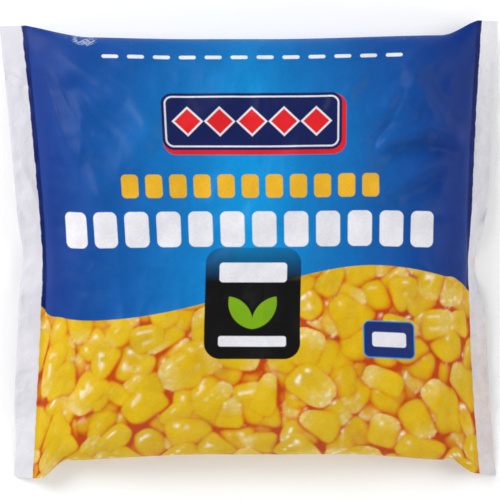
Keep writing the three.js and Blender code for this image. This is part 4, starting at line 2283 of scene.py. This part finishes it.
    def make(self) -> bpy.types.Object:
        """Makes the bag's one piece, dressed with its film, in place of the plain solid.

        Returns:
            The piece.
        """
        piece = bpy.data.objects.new("bag_film", self.mesh())
        bpy.context.scene.collection.objects.link(piece)
        layout = PrintLayout(self.along.total / 2, self.face.total)
        piece.data.materials.append(PrintedFilm(layout, self.width, self.length, self.start).material())
        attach(piece, "root")
        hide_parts("bag")
        size = (self.width, self.length)
        LOG.info("%s: %d faces, film %.1f x %.1f mm", piece.name, len(piece.data.polygons), *size)
        return piece


# The studio


@dataclass(frozen=True)
class SoftLight:
    """A square soft box that faces the bag.

    Attributes:
        name: Its name.
        place: Its middle, in metres.
        size: Its side, in metres.
        power: Its power, in watts.
    """

    name: str
    place: tuple[float, float, float]
    size: float
    power: float

    def make(self) -> None:
        """Makes the light."""
        lamp = bpy.data.lights.new(self.name, "AREA")
        lamp.size, lamp.energy = self.size, self.power
        made = bpy.data.objects.new(self.name, lamp)
        made.location = self.place
        made.rotation_euler = (-Vector(self.place)).to_track_quat("-Z", "Y").to_euler()
        bpy.context.scene.collection.objects.link(made)


@dataclass(frozen=True)
class Studio:
    """A plain pale floor, soft boxes to all sides and a camera straight above. Its sizes are in metres.

    Attributes:
        floor_half: Half the floor's side.
        floor_height: Height of the floor, just below the bag.
        floor_greys: The floor's two greys, which mix softly.
        floor_grain: The pattern in which they mix.
        floor_clouds: Values of the noise between which they mix, and how much.
        floor_roughness: The floor's roughness.
        floor_glow: How strongly the floor shines by itself.
        lens: The camera's focal length, in millimetres.
        view_width: Width of what it sees at its focus.
        focus_height: Height of its focus.
        clip: Nearest and farthest distance that it sees.
        middle: The place straight below it.
        sky: Heights in the sky, with their greys.
        lights: The soft boxes.
    """

    floor_half: float = 5.0
    floor_height: float = -0.0002
    floor_greys: Point = (0.93, 0.95)
    floor_grain: Grain = Grain(3)
    floor_clouds: Fade = Fade(0.3, 0.7, 0.3)
    floor_roughness: float = 0.9
    floor_glow: float = 0.12
    lens: float = 180.0
    view_width: float = 0.28
    focus_height: float = 0.010
    clip: Point = (0.01, 50.0)
    middle: Point = (0.0004, -0.0006)
    sky: tuple[Point, ...] = ((0.0, 0.7), (0.7, 0.2))
    lights: tuple[SoftLight, ...] = (
        SoftLight("key_light", (-1.25, 0.85, 1.0), 1.1, 28.5),
        SoftLight("right_light", (1.4, 0.3, 1.0), 1.2, 12.5),
        SoftLight("near_light", (0.1, -1.5, 1.0), 1.2, 11.5),
    )

    def floor_material(self) -> bpy.types.Material:
        """Builds the floor's material: two pale greys in soft clouds, with a faint glow.

        Returns:
            The material.
        """
        made = bpy.data.materials.new("pale_floor")
        w = Wiring(made)
        cloud = w.noise(w.node("ShaderNodeTexCoord").outputs["Object"], self.floor_grain)
        darker, lighter = ((grey, grey, grey, 1) for grey in self.floor_greys)
        shader = w.node("ShaderNodeBsdfPrincipled")
        w.feed(shader.inputs["Base Color"], w.mix(self.floor_clouds.share(w, cloud), darker, lighter))
        shader.inputs["Roughness"].default_value = self.floor_roughness
        shader.inputs["Emission Color"].default_value = (1, 1, 1, 1)
        shader.inputs["Emission Strength"].default_value = self.floor_glow
        w.finish("ShaderNodeOutputMaterial", shader)
        return made

    def make_floor(self) -> None:
        """Makes the floor: one flat sheet."""
        ticks = np.linspace(-self.floor_half, self.floor_half, 3)
        x, y = np.meshgrid(ticks, ticks)
        points = np.stack([x.ravel(), y.ravel(), np.full(x.size, self.floor_height)], axis=-1)
        faces = [(i, i + 1, i + 4, i + 3) for i in (0, 1, 3, 4)]
        mesh = bpy.data.meshes.new("studio_floor")
        mesh.from_pydata(points.tolist(), [], faces)
        mesh.materials.append(self.floor_material())
        floor = bpy.data.objects.new("studio_floor", mesh)
        bpy.context.scene.collection.objects.link(floor)

    def make_sky(self) -> None:
        """Makes the surroundings: pale at the horizon, and darker overhead so that film doesn't glare."""
        world = bpy.data.worlds.new("studio_sky")
        bpy.context.scene.world = world
        w = Wiring(world)
        split = w.node("ShaderNodeSeparateXYZ")
        w.feed(split.inputs[0], w.node("ShaderNodeTexCoord").outputs["Generated"])
        stops = [(height, (grey, grey, grey, 1)) for height, grey in self.sky]
        sky = w.node("ShaderNodeBackground")
        w.feed(sky.inputs["Color"], w.ramp(w.span(split.outputs[2], 0, 1), stops))
        w.finish("ShaderNodeOutputWorld", sky)

    def make_camera(self) -> None:
        """Makes the camera: straight above the bag, as far off as its lens needs for the view's width."""
        lens = bpy.data.cameras.new("photo_camera")
        lens.lens = self.lens
        lens.clip_start, lens.clip_end = self.clip
        camera = bpy.data.objects.new("photo_camera", lens)
        distance = self.view_width * self.lens / lens.sensor_width
        camera.location = (*self.middle, self.focus_height + distance)
        bpy.context.scene.collection.objects.link(camera)
        bpy.context.scene.camera = camera

    def make(self) -> None:
        """Makes the whole studio."""
        self.make_camera()
        self.make_floor()
        self.make_sky()
        for light in self.lights:
            light.make()
        bpy.context.scene.view_settings.view_transform = "Standard"


def main() -> None:
    """Builds the studio and the bag."""
    logging.basicConfig(level=logging.INFO, format="%(name)s: %(message)s")
    Studio().make()
    piece = SweetcornBag(FilledFilm()).make()
    LOG.info("made %s", piece.name)


if __name__ == "__main__":
    main()
